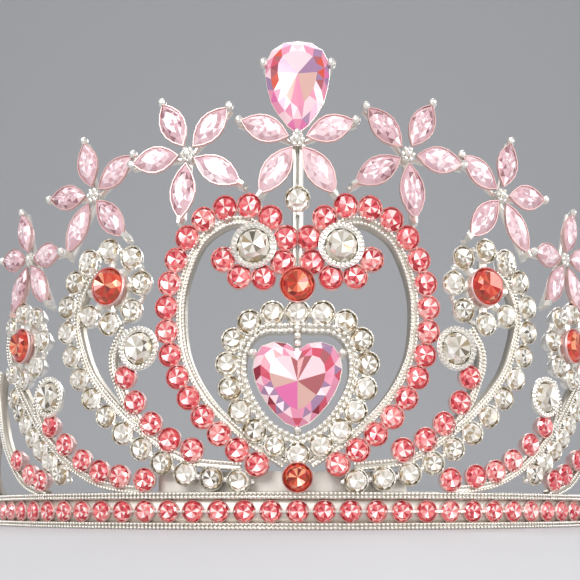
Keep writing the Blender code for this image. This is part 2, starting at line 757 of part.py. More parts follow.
def band_pieces():
    """Lower rail and web of the band, its row of stones and its two end loops."""
    half = BAND_HALF_DEPTH
    low = BAND_RAIL_HEIGHT
    high = BAND_HEIGHT - BAND_RAIL_HEIGHT - SOLDER_GAP
    web = -half + BAND_WEB
    section = [(0.0, -half), (high, -half), (high, web), (low, web), (low, half), (0.0, half)]
    yield sweep(band_path(0.0, BAND_REACH), section)
    row_up = BAND_RAIL_HEIGHT + BAND_STONE_CLEARANCE + BAND_STONE / 2
    for i in range(-BAND_STONES_EACH_SIDE, BAND_STONES_EACH_SIDE + 1):
        yield cup(i * BAND_PITCH, row_up, BAND_STONE, -half + BAND_WEB / 2)
    for side in (1, -1):
        outer = LOOP_HOLE / 2 + LOOP_WALL
        yield tube(place(side * (BAND_REACH + outer - LOOP_WALL / 2), outer), LOOP_HOLE, 2 * outer, half * 0.95)


def tube(matrix, hole, diameter, half_depth):
    """Flat ring with an open hole."""
    sides = 12
    rings = [(hole, -half_depth), (diameter, -half_depth), (diameter, half_depth), (hole, half_depth)]
    vertices = []
    for size, out in rings:
        vertices += [matrix @ Vector((p.x, p.y, out)) for p in ring(size, sides)]
    faces = []
    for r in range(4):
        a = r * sides
        b = (r + 1) % 4 * sides
        faces += [(a + i, a + (i + 1) % sides, b + (i + 1) % sides, b + i) for i in range(sides)]
    return vertices, faces


def band_notches():
    """Cutters of the small open notches between the stones of the band."""
    top = BAND_HEIGHT - BAND_RAIL_HEIGHT
    half = METAL_HALF_DEPTH * 2
    for i in range(-BAND_STONES_EACH_SIDE, BAND_STONES_EACH_SIDE):
        shape = [Vector((0.0, -NOTCH_DEPTH)), Vector((NOTCH_WIDTH / 2, 0.0)), Vector((-NOTCH_WIDTH / 2, 0.0))]
        yield stack([(shape, -half), (shape, 0.0)], place((i + 0.5) * BAND_PITCH, top))


def pierce(body, cutters, material):
    """Cut every notch out of a body at once."""
    cutter = new_object(f"{body.name}_notches", cutters, material)
    cutter.hide_render = True
    cutter.display_type = "WIRE"
    cut = body.modifiers.new("Pierce", "BOOLEAN")
    cut.operation = "DIFFERENCE"
    cut.object = cutter


def back_strip(material):
    """Plain strip behind the middle of the band."""
    behind = -BAND_HALF_DEPTH - SOLDER_GAP
    count = 10
    run = BACK_STRIP_RIGHT - BACK_STRIP_LEFT
    path = [Vector((BACK_STRIP_LEFT + run * i / count, BACK_STRIP_FOOT)) for i in range(count + 1)]
    section = [
        (0.0, behind - BACK_STRIP_THICKNESS),
        (BACK_STRIP_HEIGHT, behind - BACK_STRIP_THICKNESS),
        (BACK_STRIP_HEIGHT, behind),
        (0.0, behind),
    ]
    return new_object("back_strip", [sweep(path, section)], material)


def fancy_stone(name, half, width, height, foot_up, table, material):
    """Heart or pear: facets from the girdle to the table, and a shallow pavilion below."""
    shape = outline(half, width, height)
    centre = (0.0, height * STONE_CENTRE)
    rings = [
        (scaled(shape, FANCY_FOOT_SHARE, centre), FANCY_FOOT),
        (shape, (FANCY_FOOT + table) / 2),
        (scaled(shape, TABLE_SHARE, centre), table),
    ]
    return new_object(name, [stack(rings, place(0.0, foot_up))], material)


def petal(matrix):
    """Marquise stone with eight crown facets, a table and a pavilion that ends in a culet."""
    shape = []
    for along, share in ((-1.0, 0.0), (-0.55, 0.7), (0.0, 1.0), (0.55, 0.7)):
        shape.append(Vector((along * PETAL_LENGTH / 2, -share * PETAL_WIDTH / 2)))
    shape += [Vector((-p.x, -p.y)) for p in shape]
    rings = [
        ([Vector((0.0, 0.0))], ARM_FRONT + STONE_CLEARANCE),
        (shape, PETAL_GIRDLE),
        (scaled(shape, TABLE_SHARE), PETAL_TABLE),
    ]
    return stack(rings, matrix @ Matrix.Translation((PETAL_START + PETAL_LENGTH / 2, 0.0, 0.0)))


def finish(name, colour, roughness, metallic):
    """Material with one Principled shader."""
    material = bpy.data.materials.new(name)
    material.use_nodes = True
    shader = material.node_tree.nodes["Principled BSDF"]
    shader.inputs["Base Color"].default_value = (*colour, 1.0)
    shader.inputs["Roughness"].default_value = roughness
    shader.inputs["Metallic"].default_value = metallic
    return material


def centre_on_origin():
    """Hang every object on one empty that sets the middle of the footprint on the origin."""
    solids = [o for o in bpy.data.objects if o.type == "MESH"]
    depths = [v.co.y for o in solids for v in o.data.vertices]
    tiara = bpy.data.objects.new("tiara", None)
    bpy.context.scene.collection.objects.link(tiara)
    tiara.location.y = -(min(depths) + max(depths)) / 2
    for solid in solids:
        solid.parent = tiara


def build():
    """Make every piece of the tiara."""
    for old in list(bpy.data.objects):
        bpy.data.objects.remove(old)
    silver = finish("silver", (0.86, 0.84, 0.80), 0.18, 1.0)
    coral = finish("coral crystal", (0.90, 0.25, 0.20), 0.05, 0.0)
    pink = finish("pink crystal", (0.92, 0.45, 0.60), 0.05, 0.0)
    pale = finish("pale pink crystal", (0.93, 0.78, 0.82), 0.05, 0.0)
    clear = finish("clear crystal", (0.85, 0.83, 0.80), 0.05, 0.0)
    band = fuse("band", band_pieces(), silver)
    pierce(band, list(band_notches()), silver)
    fuse("crest", crest_pieces(), silver)
    back_strip(silver)
    for name, (across, up), stone, _ in large_round_stones():
        new_object(name, [round_stone(across, up, stone)], clear if "curl" in name or "scroll" in name else coral)
    fancy_stone("heart_stone", HEART_OUTLINE, HEART_WIDTH, HEART_HEIGHT, HEART_FOOT, HEART_TABLE, pink)
    fancy_stone("pear_stone", PEAR_OUTLINE, PEAR_WIDTH, PEAR_HEIGHT, PEAR_FOOT, PEAR_TABLE, pink)
    for name, (across, up), angles in flowers():
        for i, angle in enumerate(angles):
            new_object(f"{name}_petal_{i + 1}", [petal(place(across, up, angle))], pale)
    centre_on_origin()


build()
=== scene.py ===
"""Looks of the tiara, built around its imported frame: beaded rails, settings, cut stones and flowers.
The layout repeats the named sizes of the part's source, in metres, with the front to -Y. The pear and the
petals that stand on the crest are a little longer here than their solids."""

import math
import random

import bmesh
import bpy
from bpy.props import FloatProperty, FloatVectorProperty, PointerProperty
from mathutils import Matrix, Vector


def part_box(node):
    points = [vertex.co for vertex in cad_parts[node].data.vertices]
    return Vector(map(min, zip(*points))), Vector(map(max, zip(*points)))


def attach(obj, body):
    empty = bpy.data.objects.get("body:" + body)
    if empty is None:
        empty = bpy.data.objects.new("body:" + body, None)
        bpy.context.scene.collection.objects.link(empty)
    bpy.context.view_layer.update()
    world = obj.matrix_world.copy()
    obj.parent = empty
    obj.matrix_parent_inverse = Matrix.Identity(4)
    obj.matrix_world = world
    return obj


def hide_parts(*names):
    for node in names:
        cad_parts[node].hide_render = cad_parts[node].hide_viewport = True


bl_info = {
    "name": "Tiara dresser",
    "version": (1, 0, 0),
    "blender": (4, 5, 0),
    "location": "3D View > Sidebar > Tiara",
    "description": "Dresses the packed tiara with beaded rails, settings, cut stones and flowers",
    "category": "Object",
}

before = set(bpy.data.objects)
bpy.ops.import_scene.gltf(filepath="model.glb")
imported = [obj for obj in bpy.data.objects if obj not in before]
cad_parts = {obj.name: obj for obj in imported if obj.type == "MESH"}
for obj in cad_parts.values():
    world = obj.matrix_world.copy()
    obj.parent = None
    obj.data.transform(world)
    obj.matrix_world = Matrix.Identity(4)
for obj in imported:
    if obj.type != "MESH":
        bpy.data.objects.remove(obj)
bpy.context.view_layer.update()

# Plan of the band: half an ellipse whose middle stands behind the front of the band node.
PLAN_HALF_WIDTH = 0.0714
PLAN_DEPTH = 0.0520
CUP_TABLE = 0.0013
PLAN_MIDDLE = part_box("band")[0].y + PLAN_DEPTH + CUP_TABLE
PLAN_STEPS = 900

# Band.
BAND_HEIGHT = 0.0062
BAND_RAIL_HEIGHT = 0.0012
BAND_PITCH = 0.00425
BAND_STONES_EACH_SIDE = 15
BAND_STONE_UP = 0.0030
LOOP_HOLE = 0.0028
LOOP_WALL = 0.0014
BAND_HALF_DEPTH = 0.00088

# Rails and small stones of the crest.
SOLDER = 0.0003
RAIL_STEP = 0.0034
FINE_STEP = 0.0008
RAIL = 0.0015
SMALL_STONE = 0.0038
MAIN_PINKS = 16
HEART_CLEARS = 18
TIER_CLEARS = 14
OUTER_CLEARS = 7
MAIN_ROW = (0.05, 1.0)
TIER_ROW = (0.03, 0.97)
OUTER_ROW = (0.30, 0.66)

# Centre.
BASE_CORAL = 0.0048
MIDDLE_CORAL = 0.0054
HEART_WIDTH = 0.0142
HEART_HEIGHT = 0.0138
HEART_FRAME_WIDTH = 0.0180
HEART_FRAME_HEIGHT = 0.0182
HEART_LIFT = 0.0019
PEAR_WIDTH = 0.0104
PEAR_HEIGHT = 0.0148
PEAR_ABOVE_FLOWER = 0.0010
SCROLL_STONE = 0.0052
BEZEL = 0.0011
STEM_WIDTH = 0.0019
STEM_STONE_ABOVE_SCROLL = 0.0030
CLUSTER_FIRST_ANGLE = 166.0
CLUSTER_ANGLE_STEP = 43.3
CLUSTER_PINKS = 5
CLUSTER_SPREAD = 1.31
CLUSTER_DROP = 0.0045

# Scrolls: foot, width and height of each rail, in arc length across and in height.
SCROLL_WIDTH = 0.01925
SCROLL_HEIGHT = 0.0394
SCROLL_FOOT_UP = 0.0044
TIER_FOOT_ACROSS = 0.0105
TIER_FOOT_UP = 0.0037
TIER_WIDTH = 0.0290
TIER_HEIGHT = 0.0344
OUTER_FOOT_ACROSS = 0.0280
OUTER_FOOT_UP = 0.0006
OUTER_WIDTH = 0.0333
OUTER_HEIGHT = 0.0332
END_FOOT_ACROSS = 0.0480
END_WIDTH = 0.0192
END_HEIGHT = 0.0250
CLOSING_REACH = 0.0900
CLOSING_TOP = 0.8

# Daisies and flowers.
DAISY_CORAL = 0.0054
DAISY_RING = 0.0062
DAISY_CLEARS = 7
DAISY_STEP = 45.0
PETAL_LENGTH = 0.0078
PETAL_WIDTH = 0.0040
PETAL_START = 0.0016
PETAL_GIRDLE = 0.0013
HUB = 0.0026
FOOT_REACH = 0.0021
FOOT_PETAL_LENGTH = 0.0089

# Shapes of the rails as shares of their width and height. The scrolls run from the foot up, the curls and the
# closing rail from the top down.
SCROLL_SHAPE = (
    (0.114, 0.000), (0.436, 0.109), (0.764, 0.269), (0.956, 0.448), (1.000, 0.638), (0.956, 0.778),
    (0.826, 0.916), (0.650, 0.982), (0.504, 1.000), (0.374, 0.985), (0.290, 0.950),
)
TIER_SHAPE = (
    (-0.045, 0.010), (0.260, 0.044), (0.490, 0.157), (0.690, 0.294), (0.890, 0.483), (0.983, 0.672),
    (1.000, 0.776), (0.983, 0.860), (0.903, 0.970), (0.845, 1.000),
)
TIER_CURL_SHAPE = (
    (0.655, 0.690), (0.725, 0.600), (0.735, 0.515), (0.705, 0.435), (0.660, 0.345), (0.600, 0.265),
    (0.540, 0.195),
)
TIER_CURL_STONES = ((0.641, 0.454), (0.579, 0.328), (0.476, 0.221), (0.362, 0.142), (0.228, 0.090))
OUTER_SHAPE = (
    (-0.060, -0.010), (0.120, 0.012), (0.240, 0.045), (0.390, 0.123), (0.511, 0.217), (0.646, 0.343),
    (0.871, 0.608), (0.961, 0.735), (1.000, 0.850), (0.965, 0.945), (0.890, 1.000),
)
OUTER_CURL_SHAPE = ((0.625, 0.590), (0.675, 0.500), (0.665, 0.410), (0.628, 0.330))
OUTER_CURL_STONES = (
    (0.540, 0.345), (0.425, 0.243), (0.305, 0.150), (0.190, 0.090), (0.068, 0.063), (-0.075, 0.043),
)
END_SHAPE = ((0.0, 0.0), (0.34, 0.09), (0.58, 0.23), (0.81, 0.42), (0.96, 0.65), (1.0, 0.85), (0.93, 1.0))
END_STONES = ((0.03, 0.05), (0.20, 0.12), (0.40, 0.24))
CLOSING_SHAPE = ((0.0, 1.0), (0.22, 0.60), (0.50, 0.30), (0.78, 0.10), (1.0, -0.02))

# Half outlines as shares of half the width and of the height, from the bottom to the top.
HEART_OUTLINE = (
    (0.00, 0.00), (0.30, 0.07), (0.70, 0.29), (0.95, 0.54), (1.00, 0.74), (0.86, 0.93), (0.55, 1.00),
    (0.25, 0.985), (0.00, 0.90),
)
HEART_FRAME_OUTLINE = (
    (0.00, 0.00), (0.20, 0.035), (0.47, 0.115), (0.70, 0.245), (0.90, 0.42), (1.00, 0.60), (0.96, 0.80),
    (0.80, 0.93), (0.55, 0.99), (0.28, 0.99), (0.00, 1.00),
)
PEAR_OUTLINE = (
    (0.00, 0.00), (0.36, 0.10), (0.77, 0.30), (0.94, 0.50), (1.00, 0.69), (0.87, 0.86), (0.50, 0.97),
    (0.00, 1.00),
)
STONE_CENTRE = 0.58
HEART_STAR_CENTRE = 0.52

# Large stones of the tiers, and the hubs of the flowers, as shares of the width and height of their scroll.
DAISY = (0.752, 0.904)
OUTER_DAISY = (0.796, 0.820)
CURL_STONE = (0.548, 0.585)
OUTER_CURL_STONE = (0.535, 0.500)
CENTRE_FLOWER_UP = 0.0123
CENTRE_PETALS = (18.0, -55.0)
INNER_FLOWER = (0.925, 1.279)
INNER_PETALS = (64.0, 136.0, 212.0, 277.0, 356.0)
MIDDLE_FLOWER = (0.859, 1.372)
MIDDLE_PETALS = (79.0, 150.0, 231.0, 302.0, 7.0)
OUTER_FLOWER = (0.706, 1.286)
OUTER_PETALS = (74.0, 186.0, 240.0, 304.0, 12.0)
FOOT_ANGLES = (200.0, 340.0)

# Cups: shares of the diameter and distances out of the wall, then the rim, the mouth and the stone's seat.
CUP_BACK = -0.0013
CUP_WALL = ((0.55, -0.0009), (0.86, -0.0001), (0.98, 0.0005), (1.00, 0.0009))
CUP_RIM = 0.00112
CUP_MOUTH = 0.0009
CUP_SEAT = 0.0004
CUP_SEAT_SHARE = 0.97
CUP_FLOOR = 0.0003
TIP = [Vector((0.0, 0.0))]

# Bars: width, distances out of the back and the front, and for some the share of the width at their end.
BAR_RIDGE_SHARE = 0.4
LINK_BAR = (0.0008, -0.0008, 0.0009)
PETAL_ARM = (0.0007, -0.0004, 0.0003, 0.8)
FOOT_ARM = (0.0011, -0.0004, 0.0003, 0.8)
FOOT_CLAW = (0.0013, -0.0002, 0.0017, 0.7)
HEART_NECK = (0.0013, -0.0004, 0.0006)
HEART_ARM = (0.0011, -0.0004, 0.0003)
PEAR_NECK = (0.0012, -0.0005, 0.0002)
PEAR_ARM = (0.0011, -0.0003, 0.0003)
STEM_BAR = (STEM_WIDTH * 0.45, -0.0006, 0.0008)
SPOKE = (0.0014, -0.0007, 0.0006)

# Arms of the claws: share of the stone's height at which they stand, lean in degrees, and the share of the
# stone's width at which they start.
HEART_ARM_UP = 0.66
HEART_ARM_LEAN = 68.0
PEAR_ARM_UP = 0.70
PEAR_ARM_LEAN = 82.0
ARM_START = 0.3

# Metal of the flowers, the heart, the pear, the stem and the daisies.
HUB_STALK = ((0.9, -0.0004), (0.8, 0.0012))
HUB_BEAD_RING = 0.68
ARM_PAST_PETAL = 0.0006
BALL_PAST_PETAL = 0.0004
CLAW_OVER_PETAL = 0.0003
CLAW_LENGTH = 0.0011
NECK_OVERLAP = 0.001
HEART_ARM_END = 0.52
HEART_CLAW_SHARE = 0.545
HEART_FOOT_BAR_TOP = 0.003
BALL_OVERLAP = 0.0002
PEAR_ARM_END = 0.505
PEAR_ARM_EXTRA = 0.0002
PEAR_NECK_SHARE = 0.4
STEM_BAR_ASIDE = 0.27
TRAY_SIDES = 24
TRAY_PLATE = DAISY_CORAL + 0.0018
TRAY_LIP = DAISY_CORAL + 0.0014
TRAY_LIP_OUT = 0.0003

# Balls: distance out and radius.
HUB_BALL = (0.0014, 0.00065)
HUB_BEAD = (0.0012, 0.00045)
PETAL_BALL = (0.0012, 0.00072)
HEART_BALL = (0.0012, 0.0006)
HEART_CLAW = (0.0013, 0.00065)
PEAR_BALL = (0.0013, 0.00065)
PEAR_CLAW = (0.0012, 0.00075)
CLUSTER_NUB = 0.0009
PRONG_OUT = 0.0003
CLEFT_BALLS = 4
CLEFT_BALL_OUT = 0.0013
CLEFT_BALL_DROP = 0.0002
CLEFT_BALL_RADIUS = 0.0006

# Rails and their rows of beads.
RAIL_HALF_DEPTH = 0.0008
EDGE_DROP = 0.0002
EDGE_SHARE = 0.78
GROOVE_DEPTH = 0.00035
GROOVE_SHARE = 0.12
BEAD_ROW_SHARE = 0.30
BEAD_ROW_OUT = 0.0007
BAND_BEAD_ROW = 0.0003
WIDE_PITCH = 1.15
WEB_SECTION = ((-0.0009, -0.0021), (-0.0009, 0.0021), (0.0003, 0.0021), (0.0004, 0.0), (0.0003, -0.0021))
LINK_REACH = 0.0009
LOOP_SIDES = 32
LOOP_SECTION_SIDES = 10

# Stones and their seats: sides, heights from the girdle, turns in degrees, and what a cup adds to a stone.
GIRDLE_OUT = 0.0007
SMALL_CROWN = 0.0009
LARGE_CROWN = 0.0014
SMALL_STONE_SIDES = 10
CORAL_SIDES = 12
CLEAR_SIDES = 10
CLEAR_SHARE_LESS = 0.03
BAND_STONE_TURN = 11.0
LARGE_STONE_TURN = 11.25
LARGE_SEAT_OUT = 0.0004
LARGE_BEAD_OUT = 0.00105
LARGE_PITCH = 1.2
LARGE_CUP_SIDES = 32
SMALL_CUP_SIDES = 16
CORAL_RIM = 0.0012
CORAL_WALL = 0.0005
CORAL_EXTRA = 0.0006
CLEAR_EXTRA = 0.0003
FANCY_GIRDLE = 0.0010
FANCY_CULET = -0.0006
FANCY_STEP = 0.0002
HEART_CORNERS = 22
HEART_RINGS = ((1.0, 0.0), (0.84, 0.0009), (0.62, 0.0013))
HEART_TABLE = 0.0017
PEAR_CORNERS = 18
PEAR_RINGS = ((1.0, 0.0), (0.84, 0.0007), (0.60, 0.0012))
PEAR_TABLE = 0.0014
FANCY_CUP = ((0.75, -0.0005), (0.95, 0.0004), (1.015, 0.0009), (1.0, 0.00105), (0.9, 0.0010))
PETAL_RINGS = ((1.0, 0.0), (0.78, 0.00045), (0.52, 0.00075), (0.22, 0.00068))
PETAL_TABLE = 0.0006
PETAL_CULET = -0.0008
PETAL_BACK_SHARE = 0.6
PETAL_BACK = 0.0002
PETAL_WALL = 0.0010
PETAL_SEAT = 0.0012
PETAL_EDGE = 0.00145


def at_share(scroll, share):
    """Place across and up at shares of the width and height of a scroll."""
    across, up, width, height = scroll
    return across + share[0] * width, up + share[1] * height


# Places worked out from the sizes above; a scroll is its foot across and up, its width and its height.
RAIL_OFFSET = RAIL / 2 + SMALL_STONE / 2 - SOLDER
CREST_FOOT = BAND_HEIGHT - SOLDER
FOOT_RAIL_UP = BAND_HEIGHT - BAND_RAIL_HEIGHT / 2
BASE_SEAT = BASE_CORAL + 0.0002
MIDDLE_SEAT = MIDDLE_CORAL + 0.0004
BASE_UP = CREST_FOOT + BASE_SEAT / 2
HEART_FRAME_FOOT = BASE_UP + BASE_SEAT / 2 + SMALL_STONE - SOLDER
HEART_FOOT = HEART_FRAME_FOOT + HEART_LIFT
HEART_FRAME_TOP = HEART_FRAME_FOOT + HEART_FRAME_HEIGHT
MIDDLE_UP = HEART_FRAME_TOP + RAIL_OFFSET + SMALL_STONE / 2 + MIDDLE_SEAT / 2 - 2 * SOLDER
SCROLL_FOOT = BAND_HEIGHT + SCROLL_FOOT_UP
SCROLL_TOP = SCROLL_FOOT + SCROLL_HEIGHT
SCROLL_SEAT = SCROLL_STONE + 2 * BEZEL
CLUSTER_RADIUS = SCROLL_SEAT / 2 + SMALL_STONE / 2 - SOLDER
SCROLL_STONE_PLACE = (CLUSTER_RADIUS * CLUSTER_SPREAD, SCROLL_TOP - CLUSTER_DROP)
FLOWER_UP = SCROLL_TOP + CENTRE_FLOWER_UP
PEAR_FOOT = FLOWER_UP + PEAR_ABOVE_FLOWER
END_REACH = END_FOOT_ACROSS + END_WIDTH
MAIN = (0.0, SCROLL_FOOT, SCROLL_WIDTH, SCROLL_HEIGHT)
TIER = (TIER_FOOT_ACROSS, BAND_HEIGHT + TIER_FOOT_UP, TIER_WIDTH, TIER_HEIGHT)
OUTER = (OUTER_FOOT_ACROSS, BAND_HEIGHT + OUTER_FOOT_UP, OUTER_WIDTH, OUTER_HEIGHT)
END = (END_FOOT_ACROSS, CREST_FOOT, END_WIDTH, END_HEIGHT)
END_ROW = (END_FOOT_ACROSS, CREST_FOOT + SMALL_STONE / 2, END_WIDTH, END_HEIGHT)
CLOSING = (END_REACH, CREST_FOOT, CLOSING_REACH - END_REACH, END_HEIGHT * CLOSING_TOP)
DAISY_PLACE = at_share(TIER, DAISY)
OUTER_DAISY_PLACE = at_share(OUTER, OUTER_DAISY)
CURL_STONE_PLACE = at_share(TIER, CURL_STONE)
OUTER_CURL_PLACE = at_share(OUTER, OUTER_CURL_STONE)
DAISY_TRAY = 2 * (DAISY_RING - SMALL_STONE / 2 + SOLDER * 1.5)
RAILS = {
    "main": (SCROLL_SHAPE, MAIN),
    "tier": (TIER_SHAPE, TIER),
    "outer": (OUTER_SHAPE, OUTER),
    "tier curl": (TIER_CURL_SHAPE, TIER),
    "outer curl": (OUTER_CURL_SHAPE, OUTER),
    "end": (END_SHAPE, END),
    "closing": (CLOSING_SHAPE, CLOSING),
}

# Camera of the photograph: a level view from close by, whose horizon runs near the foot of the band.
CAMERA_DISTANCE = 0.0891
CAMERA_HEIGHT = 0.0034
PHOTO_SIDE = 580
FOCAL_PIXELS = 557
HORIZON_PIXEL = 509
CENTRE_PIXEL = 297.5
SENSOR = 36.0


def plan_lengths():
    """Arc length along the quarter ellipse at even steps of its angle."""
    lengths = [0.0]
    step = math.pi / 2 / PLAN_STEPS
    for i in range(PLAN_STEPS):
        angle = (i + 0.5) * step
        dx = PLAN_HALF_WIDTH * math.cos(angle)
        dy = PLAN_DEPTH * math.sin(angle)
        lengths.append(lengths[-1] + math.hypot(dx, dy) * step)
    return lengths


PLAN_LENGTHS = plan_lengths()
BAND_REACH = PLAN_LENGTHS[-1]


def plan_angle(across):
    """Angle of the ellipse at an arc length across from the centre."""
    target = min(abs(across), BAND_REACH)
    low = 0
    high = PLAN_STEPS
    while high - low > 1:
        middle = (low + high) // 2
        if PLAN_LENGTHS[middle] > target:
            high = middle
        else:
            low = middle
    run = PLAN_LENGTHS[high] - PLAN_LENGTHS[low]
    angle = (low + (target - PLAN_LENGTHS[low]) / run) * math.pi / 2 / PLAN_STEPS
    return math.copysign(angle, across)


def plan_axes(across):
    """Directions along the band and out of it."""
    angle = plan_angle(across)
    along = Vector((PLAN_HALF_WIDTH * math.cos(angle), PLAN_DEPTH * math.sin(angle), 0.0)).normalized()
    out = Vector((along.y, -along.x, 0.0))
    return along, out


def on_front(across, up, out=0.0):
    """World point on the curved front of the tiara; past its end the band runs straight on."""
    angle = plan_angle(across)
    along, outward = plan_axes(across)
    over = abs(across) - BAND_REACH
    depth = PLAN_MIDDLE - PLAN_DEPTH * math.cos(angle)
    point = Vector((PLAN_HALF_WIDTH * math.sin(angle), depth, up))
    if over > 0:
        point += along * math.copysign(over, across)
    return point + outward * out


def place(across, up, turn=0.0, out=0.0):
    """Matrix that lays a flat drawing on the front: x along the band, y up, z out, turned by an angle."""
    along, outward = plan_axes(across)
    axes = Matrix((along, Vector((0, 0, 1)), outward)).transposed().to_4x4()
    turned = Matrix.Rotation(math.radians(turn), 4, "Z")
    return Matrix.Translation(on_front(across, up, out)) @ axes @ turned


def path_length(path):
    """Length of a path of points."""
    return sum((b - a).length for a, b in zip(path, path[1:]))


def even(path, count):
    """A number of points at even distances along a path, both ends included."""
    total = path_length(path)
    result = []
    i = 0
    done = 0.0
    for k in range(count):
        goal = total * k / (count - 1)
        while i < len(path) - 2 and done + (path[i + 1] - path[i]).length < goal:
            done += (path[i + 1] - path[i]).length
            i += 1
        run = (path[i + 1] - path[i]).length
        result.append(path[i].lerp(path[i + 1], (goal - done) / run))
    return result


def smooth(points, step=RAIL_STEP):
    """Even points, about a step apart, on a smooth curve through the given ones."""
    points = [Vector(p) for p in points]
    ends = [points[0] * 2 - points[1]] + points + [points[-1] * 2 - points[-2]]
    fine = []
    for a, b, c, d in zip(ends, ends[1:], ends[2:], ends[3:]):
        for i in range(12):
            t = i / 12
            fine.append(
                b
                + (c - a) * (0.5 * t)
                + (a * 2 - b * 5 + c * 4 - d) * (0.5 * t * t)
                + (b * 3 - a - c * 3 + d) * (0.5 * t ** 3)
            )
    fine.append(points[-1])
    return even(fine, max(2, round(path_length(fine) / step)) + 1)


def normals(path, closed=False):
    """Left-hand normal at each point of a path."""
    last = len(path) - 1
    result = []
    for i in range(len(path)):
        before = path[i - 1] if i or closed else path[i]
        after = path[(i + 1) % len(path)] if i < last or closed else path[i]
        along = (after - before).normalized()
        result.append(Vector((-along.y, along.x)))
    return result


def beside(path, distance, closed=False):
    """The path moved to its left by a distance."""
    return [p + n * distance for p, n in zip(path, normals(path, closed))]


def shaped(shape, scroll, side=1):
    """Points at a table of shares of a scroll, mirrored on the left side."""
    places = [at_share(scroll, share) for share in shape]
    return [Vector((side * across, up)) for across, up in places]


def outline(half, width, height, foot_up=0.0):
    """Closed outline from its right half, anticlockwise from the bottom."""
    right = [Vector((x * width / 2, foot_up + y * height)) for x, y in half]
    left = [Vector((-p.x, p.y)) for p in reversed(right[1:-1])]
    return right + left


def ring(diameter, sides, turn=0.0):
    """Regular outline round a circle."""
    angles = [2 * math.pi * (i + turn) / sides for i in range(sides)]
    return [Vector((math.cos(a), math.sin(a))) * (diameter / 2) for a in angles]


def around(centre, radius, angle, side):
    """Point of a ring round a centre, mirrored on the left side."""
    turn = math.radians(angle)
    return Vector((side * (centre[0] + radius * math.cos(turn)), centre[1] + radius * math.sin(turn)))


def heart_frame(step=RAIL_STEP):
    """Closed rail round the heart."""
    points = outline(HEART_FRAME_OUTLINE, HEART_FRAME_WIDTH, HEART_FRAME_HEIGHT, HEART_FRAME_FOOT)
    return smooth(points + [points[0]], step)[:-1]


def rail(name, side, step=RAIL_STEP):
    """Path of a named rail of one side."""
    return smooth(shaped(*RAILS[name], side), step)


def row(path, side, first, last, count):
    """Places of a row of small stones outside a rail, between two shares of its length."""
    outer = beside(path, -side * RAIL_OFFSET)
    start = round(first * (len(outer) - 1))
    end = round(last * (len(outer) - 1))
    return even(outer[start : end + 1], count)


def small_stones():
    """Colour and place of every small stone of the crest."""
    frame_row = beside(heart_frame(), -RAIL_OFFSET, True)
    for p in even(frame_row + [frame_row[0]], HEART_CLEARS + 1)[:-1]:
        yield "clear", p
    for side in (1, -1):
        rows = (
            ("pink", row(rail("main", side), side, *MAIN_ROW, MAIN_PINKS)),
            ("clear", row(rail("tier", side), side, *TIER_ROW, TIER_CLEARS)),
            ("clear", row(rail("outer", side), side, *OUTER_ROW, OUTER_CLEARS)),
            ("pink", shaped(TIER_CURL_STONES, TIER, side)),
            ("pink", shaped(OUTER_CURL_STONES, OUTER, side)),
            ("pink", shaped(END_STONES, END_ROW, side)),
        )
        for colour, places in rows:
            for p in places:
                yield colour, p
        for i in range(CLUSTER_PINKS):
            angle = CLUSTER_FIRST_ANGLE + i * CLUSTER_ANGLE_STEP
            yield "pink", around(SCROLL_STONE_PLACE, CLUSTER_RADIUS, angle, side)
        for centre in (DAISY_PLACE, OUTER_DAISY_PLACE):
            for i in range(1, DAISY_CLEARS + 1):
                yield "clear", around(centre, DAISY_RING, i * DAISY_STEP, side)


def large_round_stones():
    """Name, place and diameters of stone and seat of each large round stone."""
    yield "base_coral_stone", (0.0, BASE_UP), BASE_CORAL, BASE_SEAT
    yield "middle_coral_stone", (0.0, MIDDLE_UP), MIDDLE_CORAL, MIDDLE_SEAT
    pairs = (
        ("scroll_stone", SCROLL_STONE_PLACE, SCROLL_STONE, SCROLL_SEAT),
        ("curl_stone", CURL_STONE_PLACE, SCROLL_STONE, SCROLL_SEAT),
        ("outer_curl_stone", OUTER_CURL_PLACE, SCROLL_STONE, SCROLL_SEAT),
        ("daisy_stone", DAISY_PLACE, DAISY_CORAL, DAISY_TRAY),
        ("outer_daisy_stone", OUTER_DAISY_PLACE, DAISY_CORAL, DAISY_TRAY),
    )
    for name, (across, up), stone, tray in pairs:
        yield f"{name}_right", (across, up), stone, tray
        yield f"{name}_left", (-across, up), stone, tray


def carriers():
    """Every rail as its path and half its width, and every seat as one point and its radius."""
    closed = heart_frame()
    found = [(closed + [closed[0]], RAIL / 2)]
    for side in (1, -1):
        found += [(rail(name, side), RAIL / 2) for name in RAILS]
    for _, centre, _, tray in large_round_stones():
        found.append(([Vector(centre), Vector(centre)], tray / 2))
    return found


def nearest(point, found):
    """Distance from a point to the edge of its nearest carrier, and the direction to it."""
    best = None
    for path, half in found:
        for a, b in zip(path, path[1:]):
            run = b - a
            share = (point - a).dot(run) / run.length_squared if run.length_squared else 0.0
            to = a + run * min(max(share, 0.0), 1.0) - point
            if best is None or to.length - half < best[0]:
                best = (to.length - half, to.normalized())
    return best


def soldered_places(colour):
    """Matrices of the small settings of one colour, each moved up to its carrier where it stands off."""
    found = carriers()
    result = []
    for kind, point in small_stones():
        if kind != colour:
            continue
        gap, along = nearest(point, found)
        point = point + along * max(0.0, gap - SMALL_STONE / 2 + SOLDER)
        point.y = max(point.y, CREST_FOOT + SMALL_STONE / 2)
        result.append(place(point.x, point.y, math.degrees(math.atan2(along.y, along.x))))
    return result


